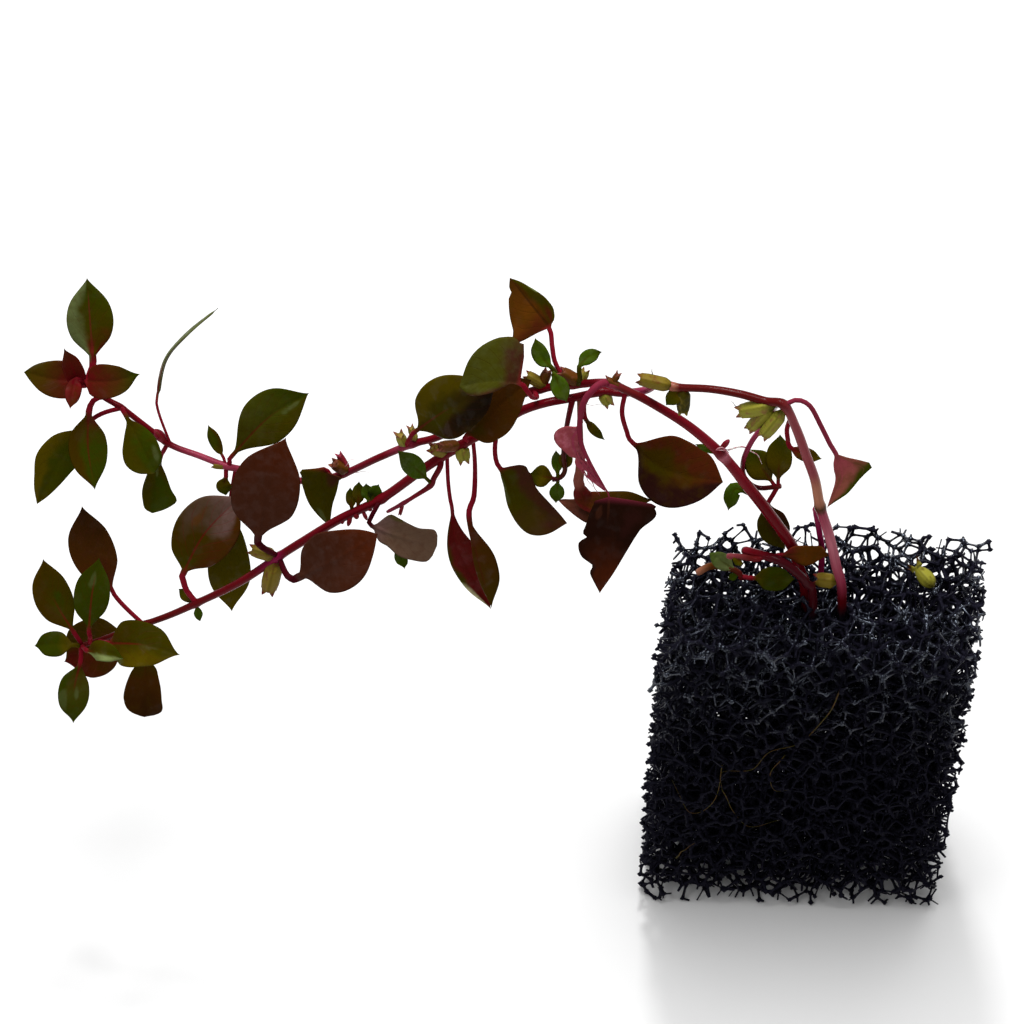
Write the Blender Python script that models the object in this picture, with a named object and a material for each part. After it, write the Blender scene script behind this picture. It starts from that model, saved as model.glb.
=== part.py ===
"""Red ludwigia rooted in a slab of black open-cell foam.

Two long stems lean out of the foam's top to the left, each with nodes, opposite leaves,
seed capsules and a leafy tip. Places on the plant are given as they are seen in a
1024 x 1024 photograph, with the distance behind the slab's middle in millimetres, and
`spot` turns each of them into a real place. Sizes are real millimetres.
"""
import math
from dataclasses import dataclass

import bmesh
import bpy
import numpy as np

MM = 0.001

# Photograph's view: a camera half a metre away that looks down at the slab
VIEW_AZIMUTH = math.radians(3.0)
VIEW_ELEVATION = math.radians(52.0)
VIEW_PLACE = np.array((-36.4, -321.4, 513.3))
VIEW_FOCAL_PIXELS = 3150.0
VIEW_MIDDLE_PIXEL = 512.0

# Foam slab: 25 mm sheet foam cut by hand
BLOCK_WIDE = 54.0
BLOCK_DEEP = 25.0
BLOCK_TALL = 82.0
BLOCK_CELL = 8.6
BLOCK_UNEVEN = 0.45
BLOCK_LIP = 2.5
BLOCK_FACE = 0.499
HOLE_DEEP = 27.0
HOLE_CLEAR = 0.5
HOLE_SIDES = 8
HOLE_STEP = 5.0
HOLE_ABOVE = 3.0

# Ripples of the side, front and top faces: turn in radians a mm along x, y and z, start
# and height, as a share of BLOCK_UNEVEN
BLOCK_RIPPLES = (
    ((0.0, 0.4, 0.83, 0.0, 1.0), (0.0, 0.0, 1.9, 1.0, 0.6)),
    ((0.52, 0.0, 0.71, 0.0, 1.0), (1.7, 0.0, 0.9, 0.0, 0.6)),
    ((0.77, 0.6, 0.0, 0.0, 1.0), (1.6, 1.1, 0.0, 0.0, 0.5)),
)

# Hand-cut corners, as (right, back, top) where 1 is yes: how far each strays from square
CORNER_SHIFTS = {
    (0, 0, 1): (-1.5, 0.0, 0.0),
    (1, 0, 1): (-0.9, 0.8, 0.6),
    (0, 1, 1): (1.2, 0.2, 0.2),
    (1, 1, 1): (1.6, 1.0, 1.2),
    (0, 0, 0): (-1.8, 0.0, 0.0),
    (1, 0, 0): (0.4, 1.2, 0.0),
}

# Routes: steps along them in mm, and how many parts each span between knots is cut into
FINE_STEP = 0.25
AXIS_STEP = 0.3
SPAN_PARTS = 12

# Stems: a shoot on another stem keeps every sixth fine place of its route
STEM_SIDES = 6
STEM_STEP = 4.8
SHOOT_STEP = 2.5
THICK_STEM = 0.8
SHOOT_EVERY = 6
FIRST_SIDE = (0.3, 0.2, 1.0)

# Buds: radius at the foot, either side of the fattest place and at the tip, as shares. The
# place before lies 0.7 of the way to the fattest, the place after 0.4 of the way on from it
BUD_SIDES = 4
BUD_SWELL = (0.3, 0.95, 0.85, 0.12)
BUD_BEFORE = 0.7
BUD_AFTER = 0.4
BUD_LEAST = 0.25

# Leaves
BLADE_THICK = 0.5
BLADE_EDGE = 0.12
STALK_TAPER = 0.6
STALK_STEP = 4.5
JOINT_GAP = 0.35
SMALL_LEAF = 5.5
BROAD_SECTION = ((-1, 0), (-0.5, 0.85), (0, 1), (0.5, 0.85), (1, 0), (0.5, -0.85), (0, -1),
                 (-0.5, -0.85))
NARROW_SECTION = ((-1, 0), (0, 1), (1, 0), (0, -1))
BLADE_STATIONS = (0.0, 0.15, 0.38, 0.65, 0.87, 1.0)
HALF_STATIONS = (0.12, 0.3, 0.5, 0.7, 0.88, 1.0)

# Colours
FOAM_BLACK = (0.012, 0.013, 0.016)
STEM_CRIMSON = (0.16, 0.012, 0.03)
LEAF_GREEN = (0.05, 0.075, 0.004)
LEAF_OLIVE = (0.055, 0.05, 0.003)
LEAF_BROWN = (0.07, 0.03, 0.004)
LEAF_PURPLE = (0.065, 0.022, 0.016)
LEAF_DARK = (0.015, 0.008, 0.006)
LEAF_PALE = (0.12, 0.14, 0.03)
CAPSULE_YELLOW = (0.2, 0.19, 0.03)
FOAM_ROUGH = 0.7
LEAF_ROUGH = 0.5
CAPSULE_ROUGH = 0.4
STEM_ROUGH = 0.35


@dataclass(frozen=True)
class Stem:
    """A stem or shoot: its route from the root end on, and its radius along the way."""

    name: str
    route: tuple
    radii: tuple
    on: str = ""
    buried: tuple = ()


@dataclass(frozen=True)
class Bud:
    """A bud, capsule or tiny leaf fused to its stem: from the stem's middle to its tip.

    `thin` is its thickness as a share of its width: 1 for a round bud, less for a leaf.
    """

    on: str
    base: tuple
    tip: tuple
    radius: float
    fat_at: float = 0.6
    thin: float = 1.0


@dataclass(frozen=True)
class Leaf:
    """A leaf: stalk from its stem's middle, then the blade's midrib from base to tip.

    `wide` is the whole blade in mm, `share` the part of it right of the midrib, as seen
    from the base on. `peak` is where along the blade it is widest, and a smaller `full`
    makes a rounder outline. An uneven leaf has its half widths `left` and `right` of the
    midrib, in mm, at `stations` instead. `fold` lifts both halves towards the viewer, and
    `turn` rolls the blade about its midrib, in degrees.
    """

    name: str
    on: str
    stalk: tuple
    blade: tuple
    wide: float
    tone: tuple
    peak: float = 0.45
    full: float = 0.8
    share: float = 0.5
    left: tuple = ()
    right: tuple = ()
    stations: tuple = HALF_STATIONS
    fold: float = 8.0
    turn: float = 0.0
    stalk_radius: float = 0.45


STEMS = (
    Stem(
        "upper_stem",
        (
            (806, 596, 0.5), (800, 572, 1.0), (793, 548, 1.5), (768, 512, 2.5),
            (745, 483, 3.5), (722, 455, 4.5), (690, 427, 5.5), (655, 405, 7.0),
            (628, 391, 8.0), (607, 383, 9.0), (580, 384, 10.0), (545, 388, 11.0),
            (515, 397, 11.5), (480, 414, 12.0), (440, 436, 12.5), (412, 444, 12.5),
            (378, 458, 12.5), (343, 474, 13.0), (315, 480, 13.0), (290, 480, 13.5),
            (262, 474, 14.0), (240, 469, 14.0), (226, 466, 14.0), (200, 456, 15.0),
            (171, 445, 16.5), (148, 428, 18.0), (122, 408, 20.0), (105, 398, 21.0),
            (88, 385, 22.0), (76, 380, 22.5),
        ),
        (0.95, 0.95, 0.9, 0.65, 0.65, 0.6, 0.55, 0.45),
        buried=(2.0, -0.5),
    ),
    Stem(
        "lower_stem",
        (
            (842, 597, -1.0), (836, 565, -0.7), (829, 535, -0.3), (820, 506, 0.0),
            (815, 480, 0.5), (806, 455, 1.0), (796, 428, 1.5), (784, 405, 2.0),
            (765, 401, 3.0), (740, 394, 4.0), (710, 389, 5.0), (675, 387, 6.0),
            (660, 382, 7.2), (646, 390, 9.3), (622, 393, 10.6), (604, 391, 10.8),
            (590, 394, 10.5), (572, 398, 10.0), (545, 403, 9.0), (521, 411, 8.5),
            (500, 424, 8.0), (470, 440, 7.0), (440, 458, 6.0), (419, 472, 5.0),
            (381, 499, 4.0), (340, 519, 3.5), (300, 543, 3.0), (278, 557, 2.5),
            (240, 582, 1.5), (197, 603, 1.0), (170, 615, 0.5), (145, 624, 0.0),
            (125, 631, -0.5), (100, 640, -1.0), (80, 646, -1.5),
        ),
        (0.95, 0.9, 0.85, 0.75, 0.6, 0.65, 0.78, 0.75, 0.7, 0.6, 0.45),
        buried=(1.5, 0.5),
    ),
    Stem(
        "side_stem",
        (
            (820, 586, 1.6), (821, 570, 2.4), (822, 550, 3.0), (819, 530, 2.5),
            (816, 514, 1.9), (815, 508, 1.2),
        ),
        (0.5, 0.5, 0.45),
        on="lower_stem",
        buried=(0.5, 1.0),
    ),
    Stem(
        "cut_stem",
        (
            (813, 600, -2.4), (806, 583, -2.2), (795, 571, -1.9), (780, 561, -1.5),
            (762, 555, -0.2), (743, 550, 1.6),
        ),
        (0.75, 0.75, 0.72),
        buried=(1.5, -1.5),
    ),
    Stem(
        "pink_stub",
        (
            (764, 557, -0.6), (756, 559, -0.8), (742, 557, 0.2), (727, 556, 0.8),
        ),
        (0.45, 0.5, 0.5),
        on="cut_stem",
    ),
    Stem(
        "low_shoot",
        (
            (742, 579, 1.0), (738, 572, 1.4), (728, 568, 1.8), (711, 566, 2.6),
            (697, 573, 2.2),
        ),
        (0.5, 0.5, 0.6, 0.6),
    ),
    Stem(
        "middle_shoot",
        (
            (573, 398, 10.0), (571, 406, 9.0), (567, 425, 8.0), (564, 445, 7.2),
            (564, 460, 6.5), (565, 470, 6.1), (561, 477, 5.7), (552, 480, 5.2),
        ),
        (0.5, 0.4, 0.4, 0.4),
        on="lower_stem",
    ),
    Stem(
        "left_shoot",
        (
            (441, 458, 6.0), (440, 467, 5.0), (434, 478, 4.5), (430, 486, 4.2),
            (415, 496, 3.8), (402, 504, 3.5), (387, 512, 3.2),
        ),
        (0.5, 0.45, 0.35, 0.3),
        on="lower_stem",
    ),
    Stem(
        "inner_shoot",
        (
            (777, 404, 2.5), (773, 410, 5.4), (763, 426, 5.5), (752, 441, 5.6),
            (744, 458, 5.7), (743, 472, 6.2), (748, 482, 6.3), (760, 488, 6.2),
            (781, 486, 5.7),
        ),
        (0.5, 0.45, 0.4, 0.4),
        on="lower_stem",
    ),
)

BUDS = (
    Bud("upper_stem", (718, 452, 4.6), (729, 440, 4.8), 0.5),
    Bud("upper_stem", (722, 455, 4.5), (695, 444, 5.8), 0.6, 0.5, 0.4),
    Bud("upper_stem", (624, 389, 8.2), (598, 374, 9.6), 0.8),
    Bud("upper_stem", (612, 384, 8.8), (622, 368, 9.8), 0.7),
    Bud("upper_stem", (582, 384, 9.9), (560, 371, 11.0), 1.0),
    Bud("upper_stem", (578, 384, 10.0), (586, 370, 11.8), 0.8),
    Bud("upper_stem", (548, 388, 10.9), (525, 374, 12.4), 0.9),
    Bud("upper_stem", (540, 389, 11.0), (548, 370, 12.6), 0.8),
    Bud("upper_stem", (403, 447, 12.4), (399, 431, 12.8), 0.8),
    Bud("upper_stem", (416, 442, 12.4), (409, 423, 13.6), 0.6),
    Bud("upper_stem", (349, 472, 13.0), (333, 463, 12.8), 1.0),
    Bud("upper_stem", (349, 472, 13.0), (336, 449, 14.5), 0.6),
    Bud("upper_stem", (228, 466, 14.0), (212, 465, 14.0), 0.6, 0.5),
    Bud("upper_stem", (166, 442, 16.8), (156, 432, 17.6), 0.6),
    Bud("lower_stem", (676, 387, 6.0), (636, 378, 6.9), 1.05, 0.6),
    Bud("lower_stem", (684, 387, 5.8), (666, 405, 4.6), 1.3, 0.6, 0.4),
    Bud("lower_stem", (685, 387, 5.8), (688, 417, 4.2), 1.0, 0.5, 0.5),
    Bud("lower_stem", (602, 392, 10.7), (609, 404, 9.9), 0.95),
    Bud("lower_stem", (776, 405, 2.5), (737, 412, 3.0), 1.2, 0.5),
    Bud("lower_stem", (774, 405, 2.5), (748, 430, 2.2), 1.0, 0.75),
    Bud("lower_stem", (785, 409, 2.0), (762, 437, 0.7), 1.1, 0.6),
    Bud("lower_stem", (448, 453, 6.3), (431, 448, 5.6), 1.0),
    Bud("lower_stem", (462, 445, 6.8), (438, 447, 5.0), 0.9),
    Bud("lower_stem", (461, 445, 6.7), (464, 461, 5.2), 1.1),
    Bud("lower_stem", (352, 512, 3.7), (354, 482, 5.8), 1.2, 0.5, 0.45),
    Bud("lower_stem", (369, 504, 3.9), (377, 484, 5.4), 1.3, 0.6, 0.5),
    Bud("lower_stem", (278, 557, 2.5), (250, 549, 3.6), 1.1, 0.6),
    Bud("lower_stem", (276, 559, 2.4), (268, 592, 0.0), 1.4, 0.65),
    Bud("lower_stem", (196, 604, 1.0), (179, 589, 4.2), 1.1, 0.6, 0.4),
    Bud("lower_stem", (196, 604, 1.0), (200, 621, 0.2), 0.8, 0.35, 0.4),
    Bud("lower_stem", (838, 582, -0.9), (815, 579, -0.4), 1.15, 0.5),
    Bud("pink_stub", (741, 557, 0.2), (735, 565, -0.8), 1.0, 0.6, 0.5),
    Bud("low_shoot", (738, 572, 1.4), (709, 553, 2.6), 1.5, 0.6, 0.35),
    Bud("low_shoot", (739, 574, 1.3), (728, 579, 0.6), 0.7, 0.6, 0.5),
    Bud("middle_shoot", (558, 478, 5.5), (556, 450, 8.2), 0.95, 0.55, 0.3),
    Bud("middle_shoot", (557, 479, 5.5), (531, 476, 7.6), 1.5, 0.6, 0.25),
    Bud("middle_shoot", (558, 479, 5.5), (556, 503, 3.4), 1.1, 0.5, 0.3),
    Bud("middle_shoot", (564, 473, 5.9), (567, 449, 8.0), 1.2, 0.6, 0.3),
    Bud("left_shoot", (431, 483, 4.3), (398, 451, 1.0), 1.8, 0.5, 0.18),
    Bud("left_shoot", (403, 503, 3.5), (399, 518, 2.6), 0.35, 0.4),
    Bud("inner_shoot", (775, 486, 5.9), (748, 451, 8.2), 2.2, 0.5, 0.25),
    Bud("inner_shoot", (778, 487, 5.7), (779, 434, 9.0), 1.7, 0.4, 0.25),
)

LEAVES = (
    Leaf("upper_tip_leaf_up", "upper_stem",
         ((86, 384, 22.0), (90, 374, 23.0), (93, 362, 24.5)),
         ((92, 352, 25.5), (89, 318, 29.0), (87, 278, 33.0)), 7.9, LEAF_OLIVE, 0.48),
    Leaf("upper_tip_leaf_left", "upper_stem",
         ((80, 381, 22.4), (78, 381, 22.2)),
         ((76, 381, 22.0), (48, 378, 21.2), (25, 372, 21.0)), 6.6, LEAF_OLIVE, 0.6, 0.6),
    Leaf("upper_tip_leaf_small_up", "upper_stem",
         ((80, 381, 22.4), (80, 375, 20.8)),
         ((78, 373, 20.4), (69, 361, 20.4), (64, 348, 21.2)), 3.3, LEAF_BROWN, 0.4),
    Leaf("upper_tip_leaf_small_down", "upper_stem",
         ((79, 382, 22.3), (76, 389, 19.4)),
         ((76, 389, 18.6), (73, 397, 16.8), (70, 409, 15.0)), 2.4, LEAF_PALE, 0.4),
    Leaf("upper_tip_leaf_right", "upper_stem",
         ((85, 383, 22.2), (88, 380, 20.6)),
         ((90, 380, 20.3), (112, 381, 19.8), (140, 374, 20.0)), 6.0, LEAF_OLIVE, 0.3, 0.7),
    Leaf("upper_tip_leaf_down", "upper_stem",
         ((103, 397, 21.1), (95, 399, 20.0), (90, 408, 18.8)),
         ((88, 416, 18.0), (88, 448, 13.6), (95, 490, 9.0)), 6.6, LEAF_OLIVE, 0.42),
    Leaf("upper_tip_leaf_low_left", "upper_stem",
         ((122, 408, 20.0), (106, 412, 19.2), (94, 418, 19.0)),
         ((84, 428, 18.6), (62, 458, 15.5), (37, 504, 11.0)), 7.8, LEAF_GREEN,
         left=(2.2, 3.0, 2.6, 1.9, 0.9, 0.0), right=(2.4, 3.7, 4.1, 2.9, 1.5, 0.0)),
    Leaf("upper_leaf_last_node", "upper_stem",
         ((122, 408, 20.0), (123, 411, 18.4)),
         ((125, 414, 17.8), (139, 442, 14.4), (155, 473, 11.4)), 7.2, LEAF_GREEN,
         left=(1.2, 2.5, 2.9, 2.6, 2.0, 0.5), right=(1.0, 2.4, 3.6, 3.8, 2.6, 0.8)),
    Leaf("upper_leaf_blunt", "upper_stem",
         ((168, 443, 16.6), (163, 452, 16.4)),
         ((160, 459, 16.2), (157, 486, 13.2), (152, 513, 10.4)), 5.8, LEAF_GREEN,
         left=(0.7, 1.5, 2.3, 3.4, 1.7, 0.3), right=(1.4, 2.0, 2.4, 2.2, 1.6, 0.8)),
    Leaf("upper_leaf_edge_on", "upper_stem",
         ((171, 445, 16.5), (163, 425, 17.6), (158, 410, 19.0)),
         ((157, 398, 20.0), (165, 360, 25.0), (188, 333, 29.0), (218, 308, 33.0)),
         8.0, LEAF_PALE, 0.5, turn=84.0, fold=4.0),
    Leaf("upper_leaf_right_up", "upper_stem",
         ((229, 466, 14.0), (231, 455, 14.6)),
         ((236, 446, 15.2), (268, 417, 17.0), (309, 393, 19.0)), 8.7, LEAF_GREEN, 0.52, 0.65),
    Leaf("upper_leaf_small_up", "upper_stem",
         ((226, 466, 14.0), (223, 456, 15.0)),
         ((222, 452, 15.4), (217, 441, 16.3), (213, 429, 17.6)), 2.3, LEAF_OLIVE, 0.6),
    Leaf("upper_leaf_small_down", "upper_stem",
         ((226, 466, 14.0), (226, 475, 13.2)),
         ((226, 477, 13.0), (224, 485, 12.2), (226, 495, 11.4)), 2.8, LEAF_GREEN, 0.5),
    Leaf("upper_leaf_hanging_behind", "upper_stem",
         ((236, 468, 14.0), (233, 485, 13.2), (231, 497, 12.8)),
         ((231, 503, 12.4), (229, 560, 8.2), (232, 611, 4.6)), 7.6, LEAF_OLIVE, 0.6, 0.75),
    Leaf("upper_leaf_tapering", "upper_stem",
         ((343, 474, 13.0), (335, 480, 11.6)),
         ((324, 469, 11.6), (322, 495, 9.6), (329, 526, 7.4)), 7.0, LEAF_OLIVE,
         left=(3.0, 3.0, 2.6, 1.5, 0.5, 0.0), right=(3.2, 3.5, 3.0, 1.9, 0.7, 0.0),
         stations=(0.05, 0.15, 0.37, 0.66, 0.9, 1.0)),
    Leaf("upper_leaf_big", "upper_stem",
         ((406, 446, 12.4), (410, 438, 11.0)),
         ((416, 431, 10.0), (450, 408, 7.0), (493, 390, 5.6)), 10.6, LEAF_OLIVE,
         left=(1.8, 4.1, 5.0, 4.5, 2.6, 0.0), right=(1.8, 4.0, 4.9, 4.5, 3.0, 0.4)),
    Leaf("upper_leaf_rounded", "upper_stem",
         ((534, 391, 11.2), (537, 397, 8.2), (532, 397, 5.4), (527, 391, 4.8)),
         ((519, 384, 4.8), (495, 373, 4.0), (469, 362, 4.0)), 9.4, LEAF_PALE,
         left=(0.8, 2.2, 3.8, 4.7, 5.1, 4.5), right=(3.4, 5.3, 6.2, 5.8, 2.7, 0.3)),
    Leaf("upper_leaf_top_folded", "upper_stem",
         ((580, 384, 10.0), (564, 376, 12.0), (555, 362, 13.6), (552, 345, 15.6)),
         ((549, 328, 17.6), (530, 303, 20.0), (510, 278, 22.0)), 8.3, LEAF_BROWN,
         left=(3.8, 6.0, 5.0, 2.7, 1.4, 0.0), right=(1.2, 2.2, 2.6, 1.5, 0.9, 0.0),
         stations=(0.05, 0.15, 0.35, 0.73, 0.86, 1.0), fold=12.0),
    Leaf("upper_leaf_small_green_left", "upper_stem",
         ((562, 386, 10.6), (555, 372, 12.0)),
         ((552, 368, 12.2), (541, 356, 13.3), (535, 338, 15.2)), 2.8, LEAF_GREEN, 0.5, 0.6),
    Leaf("upper_leaf_small_green_front", "upper_stem",
         ((558, 386, 10.7), (554, 377, 9.2)),
         ((554, 373, 9.0), (560, 388, 7.4), (567, 402, 5.8)), 3.0, LEAF_GREEN, 0.5, 0.5),
    Leaf("upper_leaf_small_green_right", "upper_stem",
         ((578, 385, 9.9), (580, 378, 8.6), (579, 371, 8.8)),
         ((579, 367, 9.0), (588, 357, 10.4), (602, 352, 11.8)), 2.4, LEAF_GREEN, 0.45, 0.6),
    Leaf("upper_leaf_dark_torn", "upper_stem",
         ((608, 383, 9.0), (597, 386, 6.6), (585, 400, 5.4), (580, 420, 4.4),
          (581, 442, 3.2), (590, 463, 1.8), (606, 490, 0.2)),
         ((609, 497, -0.4), (606, 540, -4.4), (600, 593, -9.0)), 11.0, LEAF_DARK,
         left=(7.6, 5.5, 4.3, 2.7, 0.8, 0.0), right=(2.7, 3.7, 4.4, 3.2, 1.3, 0.0)),
    Leaf("upper_leaf_big_dark", "upper_stem",
         ((626, 390, 8.1), (622, 412, 7.4), (627, 432, 7.0)),
         ((633, 443, 6.8), (668, 471, 5.6), (723, 482, 5.6)), 12.6, LEAF_DARK,
         left=(4.2, 5.7, 5.9, 5.2, 3.4, 0.0), right=(1.2, 4.4, 5.9, 4.8, 2.5, 0.0)),
    Leaf("upper_leaf_small_behind", "upper_stem",
         ((755, 496, 3.2), (746, 492, 4.4)),
         ((744, 491, 4.6), (734, 490, 4.4), (728, 511, 2.6)), 2.7, LEAF_GREEN, 0.45, 0.6),
    Leaf("lower_leaf_right_folded", "lower_stem",
         ((784, 405, 2.0), (797, 400, 2.5), (810, 406, 2.4), (821, 426, 1.6),
          (831, 446, 0.6)),
         ((836, 454, 0.0), (842, 478, -1.8), (827, 508, -4.2)), 5.4, LEAF_PURPLE,
         left=(1.7, 3.4, 5.1, 3.3, 1.6, 0.0), right=(1.0, 1.2, 1.3, 1.2, 0.7, 0.0),
         stations=(0.12, 0.2, 0.27, 0.38, 0.65, 1.0), fold=14.0),
    Leaf("lower_leaf_small_brown", "lower_stem",
         ((791, 417, 1.7), (787, 429, 4.4), (788, 440, 4.8)),
         ((790, 447, 4.7), (804, 454, 4.2), (822, 459, 3.8)), 2.4, LEAF_BROWN, 0.5, 0.6),
    Leaf("lower_leaf_folded_brown", "lower_stem",
         ((579, 397, 10.2), (580, 425, 7.8), (580, 448, 6.4), (580, 470, 5.4)),
         ((579, 484, 4.8), (592, 502, 4.2), (654, 500, 3.2)), 3.9, LEAF_BROWN, 0.5, 0.35),
    Leaf("lower_leaf_narrow", "lower_stem",
         ((584, 396, 10.4), (584, 412, 9.6)),
         ((585, 418, 9.3), (594, 430, 8.7), (605, 440, 8.2)), 1.6, LEAF_OLIVE, 0.5),
    Leaf("lower_leaf_drooping", "lower_stem",
         ((498, 425, 8.0), (495, 446, 6.8), (496, 460, 6.2)),
         ((500, 468, 5.6), (524, 502, 3.4), (567, 523, 2.6)), 8.6, LEAF_OLIVE,
         left=(2.6, 3.7, 3.1, 2.2, 1.0, 0.0), right=(0.8, 1.7, 3.6, 4.2, 2.5, 0.0)),
    Leaf("lower_leaf_behind", "lower_stem",
         ((468, 441, 6.9), (466, 439, 5.6)),
         ((467, 435, 5.4), (494, 410, 6.0), (531, 380, 8.5)), 8.0, LEAF_BROWN,
         left=(2.0, 3.0, 3.0, 2.0, 1.2, 0.0), right=(1.8, 3.3, 4.0, 3.0, 1.2, 0.0)),
    Leaf("lower_leaf_hanging_left", "lower_stem",
         ((447, 454, 6.3), (448, 480, 5.2), (450, 498, 4.8)),
         ((452, 508, 4.6), (458, 548, 2.6), (491, 609, 0.4)), 5.6, LEAF_PURPLE, 0.5, 0.7,
         share=0.42),
    Leaf("lower_leaf_hanging_right", "lower_stem",
         ((473, 439, 7.1), (475, 466, 6.5), (474, 496, 4.4)),
         ((469, 516, 2.2), (478, 560, -0.6), (492, 608, -2.6)), 3.9, LEAF_BROWN, 0.5, 0.7,
         share=0.22, fold=-6.0),
    Leaf("lower_leaf_grey_brown", "lower_stem",
         ((381, 499, 4.0), (376, 508, 2.6), (370, 520, 1.4)),
         ((372, 526, 1.0), (404, 538, 0.0), (437, 546, -1.2)), 6.2, LEAF_PURPLE,
         left=(3.1, 3.0, 2.6, 2.3, 2.5, 2.3), right=(2.0, 2.2, 3.2, 3.3, 3.0, 2.0)),
    Leaf("lower_leaf_underside", "lower_stem",
         ((279, 557, 2.5), (286, 574, -0.4), (293, 579, -1.8)),
         ((299, 577, -2.6), (338, 558, -4.0), (378, 534, -3.4)), 11.2, LEAF_PURPLE,
         left=(3.6, 4.8, 5.3, 4.1, 2.1, 0.0), right=(2.1, 4.6, 5.6, 4.8, 2.3, 0.0)),
    Leaf("lower_leaf_purple", "lower_stem",
         ((278, 556, 2.5), (265, 549, 2.2), (259, 544, 2.0)),
         ((258, 538, 2.2), (267, 486, 5.2), (286, 438, 8.2)), 11.6, LEAF_PURPLE, 0.48, 0.6),
    Leaf("lower_leaf_red_midrib", "lower_stem",
         ((197, 603, 1.0), (187, 591, 2.2), (183, 579, 3.2)),
         ((184, 572, 3.8), (205, 533, 6.6), (241, 496, 9.6)), 10.8, LEAF_BROWN, 0.52, 0.5),
    Leaf("orange_leaf", "cut_stem",
         ((772, 558, -0.9), (778, 555, -0.2)),
         ((782, 555, -0.1), (804, 554, 0.0), (829, 556, 1.4)), 4.3, LEAF_BROWN, 0.5, 0.5,
         turn=-37.0),
    Leaf("lying_green_leaf", "low_shoot",
         ((740, 576, 1.2), (750, 578, 0.9)),
         ((754, 578, 0.7), (775, 579, -0.1), (795, 579, -0.4)), 4.2, LEAF_GREEN, 0.5, 0.5),
    Leaf("leaf_behind_upper_stem", "inner_shoot",
         ((778, 486, 5.8), (771, 498, 5.4)),
         ((768, 503, 5.0), (773, 526, 4.8), (785, 549, 4.2)), 5.4, LEAF_BROWN, 0.5, 0.6),
    Leaf("lower_tip_leaf_up", "lower_stem",
         ((143, 624, 0.0), (126, 608, 1.8), (116, 597, 3.0)),
         ((112, 590, 3.6), (91, 547, 7.6), (82, 506, 11.6)), 7.8, LEAF_BROWN, 0.5, 0.65),
    Leaf("lower_tip_leaf_left_up", "lower_stem",
         ((82, 645, -1.4), (76, 633, -0.6)),
         ((72, 628, 0.0), (52, 596, 3.2), (43, 559, 7.0)), 6.6, LEAF_OLIVE, 0.48, 0.6),
    Leaf("lower_tip_leaf_middle", "lower_stem",
         ((90, 643, -1.2), (90, 634, -3.2)),
         ((88, 624, -2.6), (92, 594, 0.2), (99, 558, 3.8)), 6.2, LEAF_GREEN, 0.48, 0.6),
    Leaf("lower_tip_leaf_small_left", "lower_stem",
         ((80, 646, -1.5), (70, 645, -2.2)),
         ((67, 645, -2.4), (54, 644, -2.6), (34, 646, -2.4)), 4.6, LEAF_GREEN, 0.45, 0.65),
    Leaf("lower_tip_leaf_down", "lower_stem",
         ((81, 646, -1.5), (81, 658, -3.6)),
         ((80, 664, -4.4), (74, 690, -7.2), (73, 723, -10.4)), 5.6, LEAF_GREEN, 0.48, 0.65),
    Leaf("lower_tip_leaf_right", "lower_stem",
         ((98, 641, -1.0), (112, 643, -3.4)),
         ((118, 643, -4.0), (145, 645, -5.0), (180, 655, -5.6)), 8.4, LEAF_OLIVE, 0.36, 0.55),
    Leaf("lower_tip_leaf_pale", "lower_stem",
         ((82, 646, -1.4), (86, 650, -4.8)),
         ((89, 651, -5.6), (102, 651, -6.8), (124, 659, -7.8)), 3.7, LEAF_PALE, 0.4, 0.55),
    Leaf("lower_tip_leaf_round_behind", "lower_stem",
         ((132, 629, -0.4), (131, 634, 1.6)),
         ((128, 637, 2.0), (98, 646, 1.2), (64, 662, 0.2)), 10.6, LEAF_BROWN, 0.5, 0.5),
    Leaf("lower_tip_leaf_low_right", "lower_stem",
         ((132, 629, -0.4), (137, 640, -1.0), (142, 650, -1.8)),
         ((145, 656, -2.2), (145, 686, -5.2), (145, 717, -8.2)), 6.9, LEAF_BROWN,
         left=(1.9, 2.3, 2.8, 3.0, 3.1, 2.4), right=(1.8, 2.8, 3.6, 3.8, 2.9, 1.0)),
)

# Pink strip of blade left along the torn leaf's stalk
TORN_WING = Leaf("torn_wing", "",
                 ((581, 421, 4.5), (580, 424, 4.3)),
                 ((579, 427, 4.1), (574, 448, 3.4), (603, 486, 0.7)), 4.4, LEAF_PURPLE,
                 left=(0.9, 1.0, 1.0, 0.9, 0.5, 0.0), right=(2.2, 3.2, 1.7, 1.2, 0.6, 0.0),
                 stations=(0.1, 0.18, 0.32, 0.6, 0.85, 1.0))

# Left corner of the folded brown leaf, which hangs across its own stalk
FOLDED_CORNER = Leaf("folded_corner", "",
                     ((598, 502, 4.0), (590, 503, 4.3)),
                     ((587, 503, 4.4), (574, 505, 4.7), (558, 500, 5.2)), 2.8, LEAF_BROWN,
                     0.35, 0.5)

FALLEN_CAPSULE = Bud("", (934, 587, 1.0), (911, 561, 5.4), 1.25, 0.5)

STEM_TONES = {"low_shoot": LEAF_PALE, "middle_shoot": LEAF_GREEN, "inner_shoot": LEAF_OLIVE}


def view_axes():
    """The photograph's forward, right and up directions."""
    turn, tip = VIEW_AZIMUTH, VIEW_ELEVATION
    forward = np.array((-math.sin(turn) * math.cos(tip), math.cos(turn) * math.cos(tip),
                        -math.sin(tip)))
    right = np.array((math.cos(turn), math.sin(turn), 0.0))
    return forward, right, np.cross(right, forward)


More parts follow.
